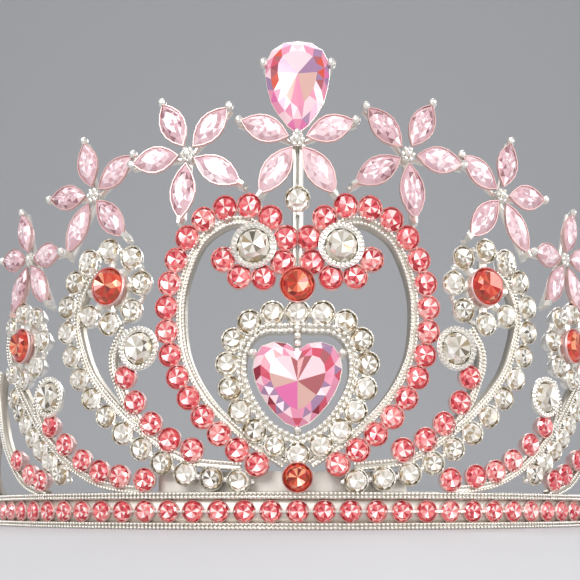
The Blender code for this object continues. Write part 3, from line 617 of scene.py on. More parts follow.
def flowers():
    """Name, hub and petal angles of every flower."""
    both = CENTRE_PETALS + tuple(180.0 - a for a in CENTRE_PETALS)
    yield "centre_flower", (0.0, FLOWER_UP), both
    pairs = (
        ("inner", at_share(MAIN, INNER_FLOWER), INNER_PETALS),
        ("middle", at_share(TIER, MIDDLE_FLOWER), MIDDLE_PETALS),
        ("outer", at_share(OUTER, OUTER_FLOWER), OUTER_PETALS),
    )
    for name, (across, up), angles in pairs:
        yield f"{name}_flower_right", (across, up), angles
        yield f"{name}_flower_left", (-across, up), tuple(180.0 - a for a in angles)


# Meshes.


def linked(name, data):
    """New object in the scene."""
    made = bpy.data.objects.new(name, data)
    bpy.context.scene.collection.objects.link(made)
    return made


def new_object(name, parts, material):
    """Object from closed parts of vertices, faces and facet tones, with its faces turned out."""
    mesh = bpy.data.meshes.new(name)
    mesh.materials.append(material)
    bm = bmesh.new()
    tone = bm.faces.layers.float.new("facet")
    for vertices, faces, tones in parts:
        made = [bm.verts.new(v) for v in vertices]
        for i, corners in enumerate(faces):
            face = bm.faces.new([made[c] for c in corners])
            face[tone] = tones[i] if tones else 0.5
    bmesh.ops.recalc_face_normals(bm, faces=bm.faces)
    bm.to_mesh(mesh)
    bm.free()
    return linked(name, mesh)


def stack(rings, matrix=None):
    """Closed part through rings of equal counts, each a list of points and its distance out; a ring of one
    point is a tip."""
    matrix = matrix or Matrix.Identity(4)
    vertices = []
    faces = []
    starts = []
    for points, out in rings:
        starts.append(len(vertices))
        vertices += [matrix @ Vector((p.x, p.y, out)) for p in points]
    count = max(len(points) for points, _ in rings)
    for (low, _), (high, _), a, b in zip(rings, rings[1:], starts, starts[1:]):
        for i in range(count):
            j = (i + 1) % count
            if len(low) == 1:
                faces.append((a, b + i, b + j))
            elif len(high) == 1:
                faces.append((a + i, a + j, b))
            else:
                faces.append((a + i, a + j, b + j, b + i))
    for points, start in ((rings[0][0], starts[0]), (rings[-1][0], starts[-1])):
        if len(points) > 1:
            faces.append(tuple(range(start, start + len(points))))
    return vertices, faces, None


def cut_stone(shape, centre, rings, table, culet, tone):
    """Cut stone over an outline. Rings are shares of the outline and heights from the girdle up, every
    other one on the middles of the sides. A function gives each facet its tone from its ring and place."""
    centre = Vector(centre)
    count = len(shape)
    halves = [(shape[i] + shape[(i + 1) % count]) / 2 for i in range(count)]
    flat = []
    for k, (share, up) in enumerate(rings):
        points = halves if k % 2 else shape
        flat += [(*(centre + (p - centre) * share), up) for p in points]
    flat.append((*centre, table))
    flat.append((*centre, culet))
    top = len(flat) - 2
    faces = []
    tones = []

    def facet(k, *corners):
        faces.append(corners)
        spot = sum((Vector(flat[c][:2]) for c in corners), Vector((0.0, 0.0))) / 3 - centre
        tones.append(tone(k, spot))

    for k in range(len(rings) - 1):
        a = k * count
        b = a + count
        for i in range(count):
            j = (i + 1) % count
            if k % 2:
                facet(k, a + i, a + j, b + j)
                facet(k + 0.5, a + i, b + j, b + i)
            else:
                facet(k, a + i, a + j, b + i)
                facet(k + 0.5, a + j, b + j, b + i)
    last = (len(rings) - 1) * count
    for i in range(count):
        facet(len(rings) - 1, last + i, last + (i + 1) % count, top)
        facet(-1, i, (i + 1) % count, top + 1)
    return [Vector(p) for p in flat], faces, tones


def setting(diameter, sides, stone_share):
    """Turned cup with a thin rim round the place of its stone."""
    rim_share = (1.0 + stone_share) / 2
    seat_share = stone_share * CUP_SEAT_SHARE
    mouth = ((rim_share, CUP_RIM), (stone_share, CUP_MOUTH), (seat_share, CUP_SEAT))
    wall = [(ring(diameter * share, sides), out) for share, out in CUP_WALL + mouth]
    return stack([(TIP, CUP_BACK), *wall, (TIP, CUP_FLOOR)])


def box_bar(matrix, start, end, width, back, front, taper=1.0):
    """Straight bar along x between two distances, narrowed towards its end, with sloped front edges."""
    far = width * taper
    flat = [Vector(p) for p in ((start, -width / 2), (end, -far / 2), (end, far / 2), (start, width / 2))]
    ridge = [Vector((p.x, p.y * BAR_RIDGE_SHARE)) for p in flat]
    return stack([(flat, back), (flat, (back + front) / 2), (ridge, front)], matrix)


def ball(matrix, radius, sides=10, rings=6):
    """Small round prong."""
    leans = [math.pi * k / rings for k in range(1, rings)]
    levels = [(ring(2 * radius * math.sin(lean), sides), -radius * math.cos(lean)) for lean in leans]
    return stack([(TIP, -radius), *levels, (TIP, radius)], matrix)


def ball_at(matrix, along, out, radius, up=0.0, sides=10, rings=6):
    """Small round prong at distances along, up and out of a place."""
    return ball(matrix @ Matrix.Translation((along, up, out)), radius, sides, rings)


def transformed(part, matrix):
    """A part moved by a matrix."""
    vertices, faces, tones = part
    return [matrix @ Vector(v) for v in vertices], faces, tones


def raised(part, out):
    """A part moved out along z."""
    return transformed(part, Matrix.Translation((0.0, 0.0, out)))


# Geometry Nodes.


def add_node(tree, kind, column, line=0, feeds=None, **settings):
    """Outputs of a new node in a column and line; feeds are sockets or values for its inputs."""
    made = tree.nodes.new(kind)
    made.location = (column * 220, -line * 220)
    for name, value in settings.items():
        setattr(made, name, value)
    for name, feed in (feeds or {}).items():
        if isinstance(feed, bpy.types.NodeSocket):
            tree.links.new(feed, made.inputs[name])
        else:
            made.inputs[name].default_value = feed
    return made.outputs


def new_tree(name, inputs):
    """Geometry node tree with one geometry in and out and the named inputs, and what its start gives."""
    tree = bpy.data.node_groups.new(name, "GeometryNodeTree")
    for label, kind in {"Geometry": "Geometry", **inputs}.items():
        tree.interface.new_socket(label, in_out="INPUT", socket_type="NodeSocket" + kind)
    tree.interface.new_socket("Geometry", in_out="OUTPUT", socket_type="NodeSocketGeometry")
    return tree, add_node(tree, "NodeGroupInput", 0)


def finished_tree(tree, start, geometry, column):
    """The tree, which makes its instances real, gives them the material and hands them out."""
    real = add_node(tree, "GeometryNodeRealizeInstances", column, 0, {"Geometry": geometry})
    feeds = {"Geometry": real["Geometry"], "Material": start["Material"]}
    coated = add_node(tree, "GeometryNodeSetMaterial", column + 1, 0, feeds)
    add_node(tree, "NodeGroupOutput", column + 2, 0, {"Geometry": coated["Geometry"]})
    return tree


def point_value(tree, label, kind, column, line):
    """Attribute of the points."""
    node = "GeometryNodeInputNamedAttribute"
    return add_node(tree, node, column, line, {"Name": label}, data_type=kind)["Attribute"]


def places_tree():
    """Tree that sets one piece on every point, turned and sized by the point's own attributes."""
    tree, start = new_tree("Set on places", {"Piece": "Object", "Seed": "Int", "Material": "Material"})
    piece = add_node(tree, "GeometryNodeObjectInfo", 1, 1, {"Object": start["Piece"]})
    euler = point_value(tree, "turn", "FLOAT_VECTOR", 0, 2)
    turn = add_node(tree, "FunctionNodeEulerToRotation", 1, 2, {"Euler": euler})
    feeds = {
        "Points": start["Geometry"],
        "Instance": piece["Geometry"],
        "Rotation": turn["Rotation"],
        "Scale": point_value(tree, "size", "FLOAT", 0, 3),
    }
    spread = add_node(tree, "GeometryNodeInstanceOnPoints", 2, 0, feeds)
    chance = add_node(tree, "FunctionNodeRandomValue", 2, 2, {"Seed": start["Seed"]}, data_type="FLOAT")
    feeds = {"Geometry": spread["Instances"], "Name": "stone", "Value": chance["Value"]}
    node = "GeometryNodeStoreNamedAttribute"
    keep = add_node(tree, node, 3, 0, feeds, data_type="FLOAT", domain="INSTANCE")
    return finished_tree(tree, start, keep["Geometry"], 4)


def beads_tree():
    """Tree that strings round beads along paths at an even pitch."""
    inputs = {"Bead": "Float", "Pitch": "Float", "Material": "Material"}
    tree, start = new_tree("Beads along a path", inputs)
    curve = add_node(tree, "GeometryNodeMeshToCurve", 1, 0, {"Mesh": start["Geometry"]})
    feeds = {"Curve": curve["Curve"], "Length": start["Pitch"]}
    steps = add_node(tree, "GeometryNodeResampleCurve", 2, 0, feeds, mode="LENGTH")
    feeds = {"Segments": 8, "Rings": 4, "Radius": start["Bead"]}
    bead = add_node(tree, "GeometryNodeMeshUVSphere", 1, 2, feeds)
    round_off = add_node(tree, "GeometryNodeSetShadeSmooth", 2, 2, {"Geometry": bead["Mesh"]})
    feeds = {"Points": steps["Curve"], "Instance": round_off["Geometry"]}
    spread = add_node(tree, "GeometryNodeInstanceOnPoints", 3, 0, feeds)
    return finished_tree(tree, start, spread["Instances"], 4)


def rail_tree():
    """Tree that draws a profile along paths, upright on the direction out that each point carries."""
    tree, start = new_tree("Rail along a path", {"Profile": "Object", "Material": "Material"})
    curve = add_node(tree, "GeometryNodeMeshToCurve", 1, 0, {"Mesh": start["Geometry"]})
    feeds = {"Curve": curve["Curve"], "Normal": point_value(tree, "out", "FLOAT_VECTOR", 1, 2)}
    upright = add_node(tree, "GeometryNodeSetCurveNormal", 2, 0, feeds, mode="FREE")
    shape = add_node(tree, "GeometryNodeObjectInfo", 1, 1, {"Object": start["Profile"]})
    section = add_node(tree, "GeometryNodeMeshToCurve", 2, 1, {"Mesh": shape["Geometry"]})
    feeds = {"Curve": upright["Curve"], "Profile Curve": section["Curve"], "Fill Caps": True}
    draw = add_node(tree, "GeometryNodeCurveToMesh", 3, 0, feeds)
    return finished_tree(tree, start, draw["Mesh"], 4)


def group_named(name):
    """One of the node groups of this file, made when it is first asked for."""
    makers = {
        "Set on places": places_tree,
        "Beads along a path": beads_tree,
        "Rail along a path": rail_tree,
        "Facet tone": facet_group,
        "Soft tarnish": tarnish_group,
    }
    return bpy.data.node_groups.get(name) or makers[name]()


def grown(name, carrier, tree_name, material, values):
    """Plain mesh object that a tree makes from a carrier, which is removed."""
    tree = group_named(tree_name)
    growth = carrier.modifiers.new("Growth", "NODES")
    growth.node_group = tree
    sockets = {s.name: s.identifier for s in tree.interface.items_tree if s.in_out == "INPUT"}
    for label, value in {**values, "Material": material}.items():
        growth[sockets[label]] = value
    bpy.context.view_layer.update()
    ready = carrier.evaluated_get(bpy.context.evaluated_depsgraph_get())
    mesh = bpy.data.meshes.new_from_object(ready)
    mesh.name = name
    bpy.data.objects.remove(carrier)
    if not mesh.polygons:
        raise RuntimeError(f"{name} came out empty")
    mesh.materials.clear()
    mesh.materials.append(material)
    mesh.polygons.foreach_set("material_index", [0] * len(mesh.polygons))
    return linked(name, mesh)


def set_on(name, places, parts, kind, seed=1):
    """A piece of parts set on every place, a list of matrices and sizes, as one mesh."""
    mesh = bpy.data.meshes.new(name)
    mesh.from_pydata([matrix.translation for matrix, _ in places], [], [])
    mesh.attributes.new("turn", "FLOAT_VECTOR", "POINT")
    mesh.attributes.new("size", "FLOAT", "POINT")
    for i, (matrix, share) in enumerate(places):
        mesh.attributes["turn"].data[i].vector = matrix.to_euler()
        mesh.attributes["size"].data[i].value = share
    piece = new_object("piece", parts, coat(kind))
    values = {"Piece": piece, "Seed": seed}
    made = grown(name, linked(name + " places", mesh), "Set on places", coat(kind), values)
    bpy.data.objects.remove(piece)
    return made


def path_carrier(name, paths):
    """Object of edges along paths, with the direction out at each point. A path is a list of points across
    and up, a distance out and whether it closes."""
    vertices = []
    edges = []
    outs = []
    for points, out, closed in paths:
        first = len(vertices)
        for p in points:
            vertices.append(on_front(p.x, p.y, out))
            outs.append(plan_axes(p.x)[1])
        edges += [(i, i + 1) for i in range(first, len(vertices) - 1)]
        if closed:
            edges.append((len(vertices) - 1, first))
    mesh = bpy.data.meshes.new(name)
    mesh.from_pydata(vertices, edges, [])
    direction = mesh.attributes.new("out", "FLOAT_VECTOR", "POINT")
    for i, out in enumerate(outs):
        direction.data[i].vector = out
    return linked(name + " path", mesh)


def drawn(name, paths, section, kind):
    """Rails of a section, given as distances out and to the side, drawn along paths."""
    mesh = bpy.data.meshes.new("section")
    count = len(section)
    mesh.from_pydata([(x, y, 0.0) for x, y in section], [(i, (i + 1) % count) for i in range(count)], [])
    profile = linked("section", mesh)
    made = grown(name, path_carrier(name, paths), "Rail along a path", coat(kind), {"Profile": profile})
    bpy.data.objects.remove(profile)
    outwards(made)
    return made


def beaded(name, paths, bead, pitch):
    """Rows of small silver beads along paths."""
    values = {"Bead": bead / 2, "Pitch": pitch}
    return grown(name, path_carrier(name, paths), "Beads along a path", coat("silver"), values)


def outwards(made):
    """Turn the faces of a plain mesh outwards."""
    bm = bmesh.new()
    bm.from_mesh(made.data)
    bmesh.ops.remove_doubles(bm, verts=bm.verts, dist=1e-7)
    bmesh.ops.recalc_face_normals(bm, faces=bm.faces)
    bm.to_mesh(made.data)
    bm.free()


def handed_over(made, slot, *nodes):
    """A finished piece rides on the tiara and stands for its solids."""
    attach(made, "root")
    if nodes:
        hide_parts(*nodes)
    return made


def metal_piece(name, parts, kind="silver"):
    """Finished piece of plated metal."""
    handed_over(new_object(name, parts, coat(kind)), "silver")


# Materials.


def linear(red, green, blue):
    """Colour of a screen value from 0 to 255, with full alpha."""
    parts = []
    for value in (red, green, blue):
        share = value / 255
        parts.append(share / 12.92 if share <= 0.04045 else ((share + 0.055) / 1.055) ** 2.4)
    return (*parts, 1.0)


def shader_group(name, inputs, outputs):
    """Empty shader node group with named sockets, and what its start gives."""
    group = bpy.data.node_groups.new(name, "ShaderNodeTree")
    for label, value in inputs.items():
        socket = group.interface.new_socket(label, in_out="INPUT", socket_type="NodeSocketFloat")
        socket.default_value = value
    for label in outputs:
        group.interface.new_socket(label, in_out="OUTPUT", socket_type="NodeSocketFloat")
    return group, add_node(group, "NodeGroupInput", 0)


def facet_group():
    """Group that gives each facet of each stone a tone from 0 to 1, which picks its colour with painted shade
    or painted highlight.
    """
    group, start = shader_group("Facet tone", {"Spread": 0.3}, ("Tone",))
    facet = add_node(group, "ShaderNodeAttribute", 0, 1, attribute_name="facet")
    stone = add_node(group, "ShaderNodeAttribute", 0, 2, attribute_name="stone")
    feeds = {0: stone["Fac"], 1: start["Spread"]}
    share = add_node(group, "ShaderNodeMath", 1, 1, feeds, operation="MULTIPLY")
    total = add_node(group, "ShaderNodeMath", 2, 0, {0: facet["Fac"], 1: share[0]}, operation="ADD")
    wrap = add_node(group, "ShaderNodeMath", 3, 0, {0: total[0], 1: 1.0}, operation="PINGPONG")
    add_node(group, "NodeGroupOutput", 4, 0, {"Tone": wrap[0]})
    return group


def tarnish_group():
    """Group that varies metal softly over its surface, as a mask and a roughness."""
    inputs = {"Scale": 420.0, "Smooth": 0.14, "Rough": 0.26}
    group, start = shader_group("Soft tarnish", inputs, ("Mask", "Roughness"))
    place_on = add_node(group, "ShaderNodeTexCoord", 0, 1)
    feeds = {"Detail": 3.0, "Vector": place_on["Object"], "Scale": start["Scale"]}
    cloud = add_node(group, "ShaderNodeTexNoise", 1, 0, feeds)
    feeds = {"Value": cloud["Fac"], "To Min": start["Smooth"], "To Max": start["Rough"]}
    rough = add_node(group, "ShaderNodeMapRange", 2, 0, feeds)
    add_node(group, "NodeGroupOutput", 3, 0, {"Mask": cloud["Fac"], "Roughness": rough["Result"]})
    return group


def new_material(name):
    """Material with nodes, its tree and the inputs of its shader."""
    material = bpy.data.materials.new(name)
    material.use_nodes = True
    return material, material.node_tree, material.node_tree.nodes["Principled BSDF"].inputs


def metal(name, bright, dark, smoothest, roughest):
    """Plated metal, a little darker and rougher in soft patches."""
    material, tree, shader = new_material(name)
    feeds = {"Smooth": smoothest, "Rough": roughest}
    wear = add_node(tree, "ShaderNodeGroup", -3, 0, feeds, node_tree=group_named("Soft tarnish"))
    feeds = {"A": bright, "B": dark, "Factor": wear["Mask"]}
    blend = add_node(tree, "ShaderNodeMix", -1, 0, feeds, data_type="RGBA")
    tree.links.new(blend["Result"], shader["Base Color"])
    tree.links.new(wear["Roughness"], shader["Roughness"])
    shader["Metallic"].default_value = 1.0
    return material


def crystal(name, stops, spread, metallic):
    """Foiled cut crystal: each facet takes a colour from the stops, which paint shade, highlights and the
    foil's reflections over the stone's own colour.
    """
    material, tree, shader = new_material(name)
    tone = add_node(tree, "ShaderNodeGroup", -3, 0, {"Spread": spread}, node_tree=group_named("Facet tone"))
    ramp = tree.nodes.new("ShaderNodeValToRGB")
    ramp.location = (-440, 0)
    ramp.color_ramp.interpolation = "CONSTANT"
    points = ramp.color_ramp.elements
    for i, stop in enumerate(stops):
        point = points[i] if i < 2 else points.new(i / len(stops))
        point.position = i / len(stops)
        point.color = linear(*stop)
    tree.links.new(tone["Tone"], ramp.inputs["Fac"])
    tree.links.new(ramp.outputs["Color"], shader["Base Color"])
    values = {
        "Metallic": metallic,
        "Roughness": 0.10,
        "IOR": 1.6,
        "Coat Weight": min(1.0, 2.0 * metallic),
        "Coat Roughness": 0.02,
    }
    for label, value in values.items():
        shader[label].default_value = value
    return material


# Screen colours of the facets of each kind of stone: the stone's own colour, with painted shade in the dark
# facets and painted highlights and reflections of the foil in the pale and near-white ones.
PINK_FACETS = (
    (158, 28, 38), (214, 68, 78), (229, 98, 106), (239, 134, 132), (188, 42, 54), (248, 182, 176),
    (255, 232, 226),
)
CORAL_FACETS = ((132, 18, 10), (184, 38, 24), (212, 60, 40), (226, 92, 62), (168, 62, 30), (246, 160, 118))
CLEAR_FACETS = (
    (112, 102, 88), (166, 156, 138), (198, 189, 173), (218, 211, 198), (170, 150, 118), (228, 222, 212),
    (255, 252, 246),
)
PALE_FACETS = (
    (150, 108, 112), (198, 156, 160), (216, 178, 184), (226, 194, 198), (204, 164, 172), (236, 210, 214),
    (252, 240, 242),
)
HEART_FACETS = (
    (136, 26, 50), (212, 106, 158), (200, 78, 98), (166, 92, 96), (206, 164, 154), (220, 140, 166),
    (236, 200, 206), (156, 120, 152), (206, 80, 60), (246, 220, 228),
)
# Tones of the facets of the heart and the pear, and the limits in degrees of the facets of their stars, which
# paint their reflections light and dark by direction.
DEEP, MAGENTA, ROSE, BROWN, BEIGE, PINK, PALE, MAUVE, ORANGE, WHITE = ((i + 0.5) / 10 for i in range(10))
HEART_STAR = (
    (-157, BEIGE), (-92, MAGENTA), (-38, BEIGE), (14, BROWN), (62, PALE), (112, BROWN), (163, PALE),
    (181, BEIGE),
)
PEAR_STAR = ((-128, WHITE), (-100, BEIGE), (-72, PINK), (8, BEIGE), (58, MAUVE), (122, PALE), (181, PINK))

# Plates: material, lighter and darker screen colour, and the limits of the roughness. The silver of the
# settings and the beads has its lighter colour from the panel.
PLATES = {
    "silver": ("silver plate", None, (232, 226, 214), 0.26, 0.40),
    "dull silver": ("dull silver plate", (222, 215, 203), (186, 178, 164), 0.32, 0.46),
    "pale plate": ("pale plate", (236, 230, 222), (206, 199, 190), 0.45, 0.60),
    # The silver round the pink stones and the petals is tinted pink: a painted reflection of the stones over
    # the silver's own colour.
    "silver with painted pink reflection": ("silver plate with painted pink reflection", (240, 212, 208), (224, 180, 176), 0.42, 0.56),
}

# Stones: material, colours of the facets, spread of tones from stone to stone, share of the foil's shine.
STONES = {
    "pink": ("coral pink crystal", PINK_FACETS, 0.25, 1.0),
    "coral": ("orange coral crystal", CORAL_FACETS, 0.2, 1.0),
    "clear": ("clear crystal", CLEAR_FACETS, 0.35, 1.0),
    "pale": ("pale pink crystal", PALE_FACETS, 0.3, 0.3),
    "heart": ("rose crystal", HEART_FACETS, 0.0, 0.15),
}
MATERIALS = {}


def coat(kind):
    """Material of one kind of plate or stone, made when it is first asked for."""
    if kind not in MATERIALS:
        colours = bpy.context.scene.tiara_colours
        if kind in PLATES:
            name, bright, dark, smoothest, roughest = PLATES[kind]
            lighter = linear(*bright) if bright else (*colours.silver, 1.0)
            MATERIALS[kind] = metal(name, lighter, linear(*dark), smoothest, roughest)
        else:
            name, stops, spread, share = STONES[kind]
            MATERIALS[kind] = crystal(name, stops, spread, colours.foil * share)
    return MATERIALS[kind]


class TiaraSizes(bpy.types.PropertyGroup):
    """Sizes of the details that dress the tiara."""

    bead: FloatProperty(
        name="Milgrain bead", description="Diameter of the small beads on the rails",
        default=0.00058, min=0.0001, unit="LENGTH",
    )
    large_bead: FloatProperty(
        name="Large bead", description="Diameter of the beads on the frame of the heart",
        default=0.00086, min=0.0001, unit="LENGTH",
    )
    bead_pitch: FloatProperty(
        name="Bead pitch", description="Distance between beads along a rail",
        default=0.00062, min=0.0002, unit="LENGTH",
    )
    rail_width: FloatProperty(
        name="Rail width", description="Width of the scroll rails",
        default=RAIL, min=0.0005, unit="LENGTH",
    )
    small_setting: FloatProperty(
        name="Small setting", description="Outside diameter of the small round settings of the crest",
        default=0.0042, min=0.001, unit="LENGTH",
    )
    band_setting: FloatProperty(
        name="Band setting", description="Outside diameter of the settings of the band",
        default=0.0038, min=0.001, unit="LENGTH",
    )
    stone_share: FloatProperty(
        name="Stone share", description="Diameter of a small stone as a share of its setting",
        default=0.89, min=0.5, max=0.95, subtype="FACTOR",
    )
    prong: FloatProperty(
        name="Prong", description="Diameter of the round prongs that join neighbouring clear stones",
        default=0.0011, min=0.0002, unit="LENGTH",
    )
    petal_rim: FloatProperty(
        name="Petal rim", description="Width of the thin rim round a petal",
        default=0.00016, min=0.00005, unit="LENGTH",
    )


class TiaraColours(bpy.types.PropertyGroup):
    """Colours of the metal and the floor, and the shine of the stones."""

    silver: FloatVectorProperty(
        name="Silver", description="Colour of the plated metal",
        default=(0.93, 0.915, 0.885), size=3, min=0.0, max=1.0, subtype="COLOR",
    )
    foil: FloatProperty(
        name="Foil", description="How much a stone mirrors like the foil behind it",
        default=0.3, min=0.0, max=1.0, subtype="FACTOR",
    )
    floor: FloatVectorProperty(
        name="Floor", description="Colour of the floor and the wall behind",
        default=(0.62, 0.62, 0.63), size=3, min=0.0, max=1.0, subtype="COLOR",
    )


def side_rows(points, distance, out, closed=False):
    """Two rows, one on each side of a path."""
    return [(beside(points, side * distance, closed), out, closed) for side in (1, -1)]


def rail_section(width, half_depth):
    """Section of a rail with a groove between two raised edges, as distances out and to the side."""
    half = width / 2
    right = (
        (-half_depth, half),
        (half_depth - EDGE_DROP, half),
        (half_depth, half * EDGE_SHARE),
        (half_depth - GROOVE_DEPTH, half * GROOVE_SHARE),
    )
    left = [(out, -aside) for out, aside in reversed(right)]
    return (left[-1], *right, *left[:-1])


def band_line(up, reach):
    """Fine path at one height along the band."""
    count = round(2 * reach / FINE_STEP)
    return [Vector((reach * (2 * i / count - 1), up)) for i in range(count + 1)]


def band_rail(name, up, reach, *nodes):
    """Grooved rail at one height along the band."""
    paths = [(band_line(up, reach), 0.0, False)]
    rails = drawn(name, paths, rail_section(BAND_RAIL_HEIGHT, BAND_HALF_DEPTH), "dull silver")
    handed_over(rails, "silver", *nodes)


def round_cut(diameter, height, rng, sides):
    """Round stone with a star under its table, a row of kites and a row of girdle facets."""

    def tone(k, spot):
        """Girdle facets are deep, kites mixed and the star alternately deep and bright: painted shade and
        painted highlight in the facets.
        """
        if k < 0:
            return 0.3
        if k < 1:
            return rng.choice((0.2, 0.35, 0.5, 0.6, 0.8))
        if k < 2:
            return rng.choice((0.1, 0.3, 0.45, 0.5, 0.75, 0.95))
        turn = math.degrees(math.atan2(spot.y, spot.x)) % 360.0
        # Every other facet of the star gets a painted highlight, the others painted shade.
        bright = round(turn * sides / 360.0 - 0.5) % 2
        return rng.choice((0.5, 0.8, 0.97)) if bright else rng.choice((0.1, 0.2, 0.35, 0.6))

    rings = ((1.0, 0.0), (0.84, height * 0.6), (0.64, height))
    return cut_stone(ring(diameter, sides), (0.0, 0.0), rings, height * 0.7, -diameter * 0.3, tone)


class TIARA_OT_rails(bpy.types.Operator):
    """Draw the rails of the scrolls, the frame of the heart and the foot rail"""

    bl_idname = "tiara.rails"
    bl_label = "Rails"

    def execute(self, context):
        paths = [(heart_frame(FINE_STEP), 0.0, True)]
        for side in (1, -1):
            paths += [(rail(name, side, FINE_STEP), 0.0, False) for name in RAILS]
        section = rail_section(context.scene.tiara_sizes.rail_width, RAIL_HALF_DEPTH)
        handed_over(drawn("scroll_rails", paths, section, "dull silver"), "silver", "crest")
        band_rail("foot_rail", FOOT_RAIL_UP, CLOSING_REACH)
        return {"FINISHED"}


class TIARA_OT_milgrain(bpy.types.Operator):
    """String the small beads along both edges of every rail"""

    bl_idname = "tiara.milgrain"
    bl_label = "Milgrain"

    def execute(self, context):
        sizes = context.scene.tiara_sizes
        offset = sizes.rail_width * BEAD_ROW_SHARE
        crest = []
        for side in (1, -1):
            for name in RAILS:
                crest += side_rows(rail(name, side, FINE_STEP), offset, BEAD_ROW_OUT)
        heart = side_rows(heart_frame(FINE_STEP), offset, BEAD_ROW_OUT, True)
        band = side_rows(band_line(FOOT_RAIL_UP, CLOSING_REACH), BAND_BEAD_ROW, BAND_HALF_DEPTH)
        band += side_rows(band_line(BAND_RAIL_HEIGHT / 2, BAND_REACH), BAND_BEAD_ROW, BAND_HALF_DEPTH)
        groups = (
            ("rail_milgrain", crest, sizes.bead, sizes.bead_pitch),
            ("heart_milgrain", heart, sizes.large_bead, sizes.large_bead * WIDE_PITCH),
            ("band_milgrain", band, sizes.bead, sizes.bead_pitch * WIDE_PITCH),
        )
        for name, paths, bead, pitch in groups:
            handed_over(beaded(name, paths, bead, pitch), "silver")
        return {"FINISHED"}


class TIARA_OT_band(bpy.types.Operator):
    """Make the band: lower rail, web, end loops and the links between its stones"""

    bl_idname = "tiara.band"
    bl_label = "Band"

    def execute(self, context):
        band_rail("band_rail", BAND_RAIL_HEIGHT / 2, BAND_REACH, "band")
        web = [(band_line(BAND_HEIGHT / 2, BAND_REACH), 0.0, False)]
        handed_over(drawn("band_web", web, WEB_SECTION, "pale plate"), "silver")
        link = box_bar(Matrix.Identity(4), -LINK_REACH, LINK_REACH, *LINK_BAR)
        gaps = range(-BAND_STONES_EACH_SIDE, BAND_STONES_EACH_SIDE)
        places = [(place((i + 0.5) * BAND_PITCH, BAND_STONE_UP), 1.0) for i in gaps]
        handed_over(set_on("band_links", places, [link], "silver"), "silver")
        metal_piece("end_loops", [end_loop(side) for side in (1, -1)])
        return {"FINISHED"}


def end_loop(side):
    """Ring of a rounded section at one end of the band."""
    outer = LOOP_HOLE / 2 + LOOP_WALL
    matrix = place(side * (BAND_REACH + outer - LOOP_WALL / 2), outer)
    vertices = []
    faces = []
    for i in range(LOOP_SIDES):
        turn = 2 * math.pi * i / LOOP_SIDES
        a = i * LOOP_SECTION_SIDES
        b = (i + 1) % LOOP_SIDES * LOOP_SECTION_SIDES
        for k in range(LOOP_SECTION_SIDES):
            lean = 2 * math.pi * k / LOOP_SECTION_SIDES
            radius = (LOOP_HOLE + LOOP_WALL + LOOP_WALL * math.cos(lean)) / 2
            out = BAND_HALF_DEPTH * math.sin(lean)
            vertices.append(matrix @ Vector((radius * math.cos(turn), radius * math.sin(turn), out)))
            j = (k + 1) % LOOP_SECTION_SIDES
            faces.append((a + k, a + j, b + j, b + k))
    return vertices, faces, None


class TIARA_OT_small_stones(bpy.types.Operator):
    """Set the small pink and clear stones in their settings"""

    bl_idname = "tiara.small_stones"
    bl_label = "Small stones"

    def execute(self, context):
        sizes = context.scene.tiara_sizes
        whole = sizes.small_setting
        places = {kind: [(matrix, 1.0) for matrix in soldered_places(kind)] for kind in ("pink", "clear")}
        places["clear"].append((place(0.0, SCROLL_TOP + STEM_STONE_ABOVE_SCROLL), 1.0))
        for i in range(-BAND_STONES_EACH_SIDE, BAND_STONES_EACH_SIDE + 1):
            matrix = place(i * BAND_PITCH, BAND_STONE_UP, BAND_STONE_TURN * i)
            places["pink"].append((matrix, sizes.band_setting / whole))
        cup = setting(whole, SMALL_CUP_SIDES, sizes.stone_share)
        middle = Matrix.Identity(4)
        balls = (whole / 2, -whole / 2)
        prongs = [ball_at(middle, 0.0, PRONG_OUT, sizes.prong / 2, up, 6, 4) for up in balls]
        kinds = (
            ("pink", [cup], "silver with painted pink reflection", sizes.stone_share, 5),
            ("clear", [cup, *prongs], "silver", sizes.stone_share - CLEAR_SHARE_LESS, 8),
        )
        for kind, parts, plate, share, seed in kinds:
            handed_over(set_on(f"{kind}_settings", places[kind], parts, plate), "silver")
            cut = round_cut(whole * share, SMALL_CROWN, random.Random(seed), SMALL_STONE_SIDES)
            made = set_on(f"small_{kind}_stones", places[kind], [raised(cut, GIRDLE_OUT)], kind, 3)
            handed_over(made, f"{kind}_crystal")
        return {"FINISHED"}


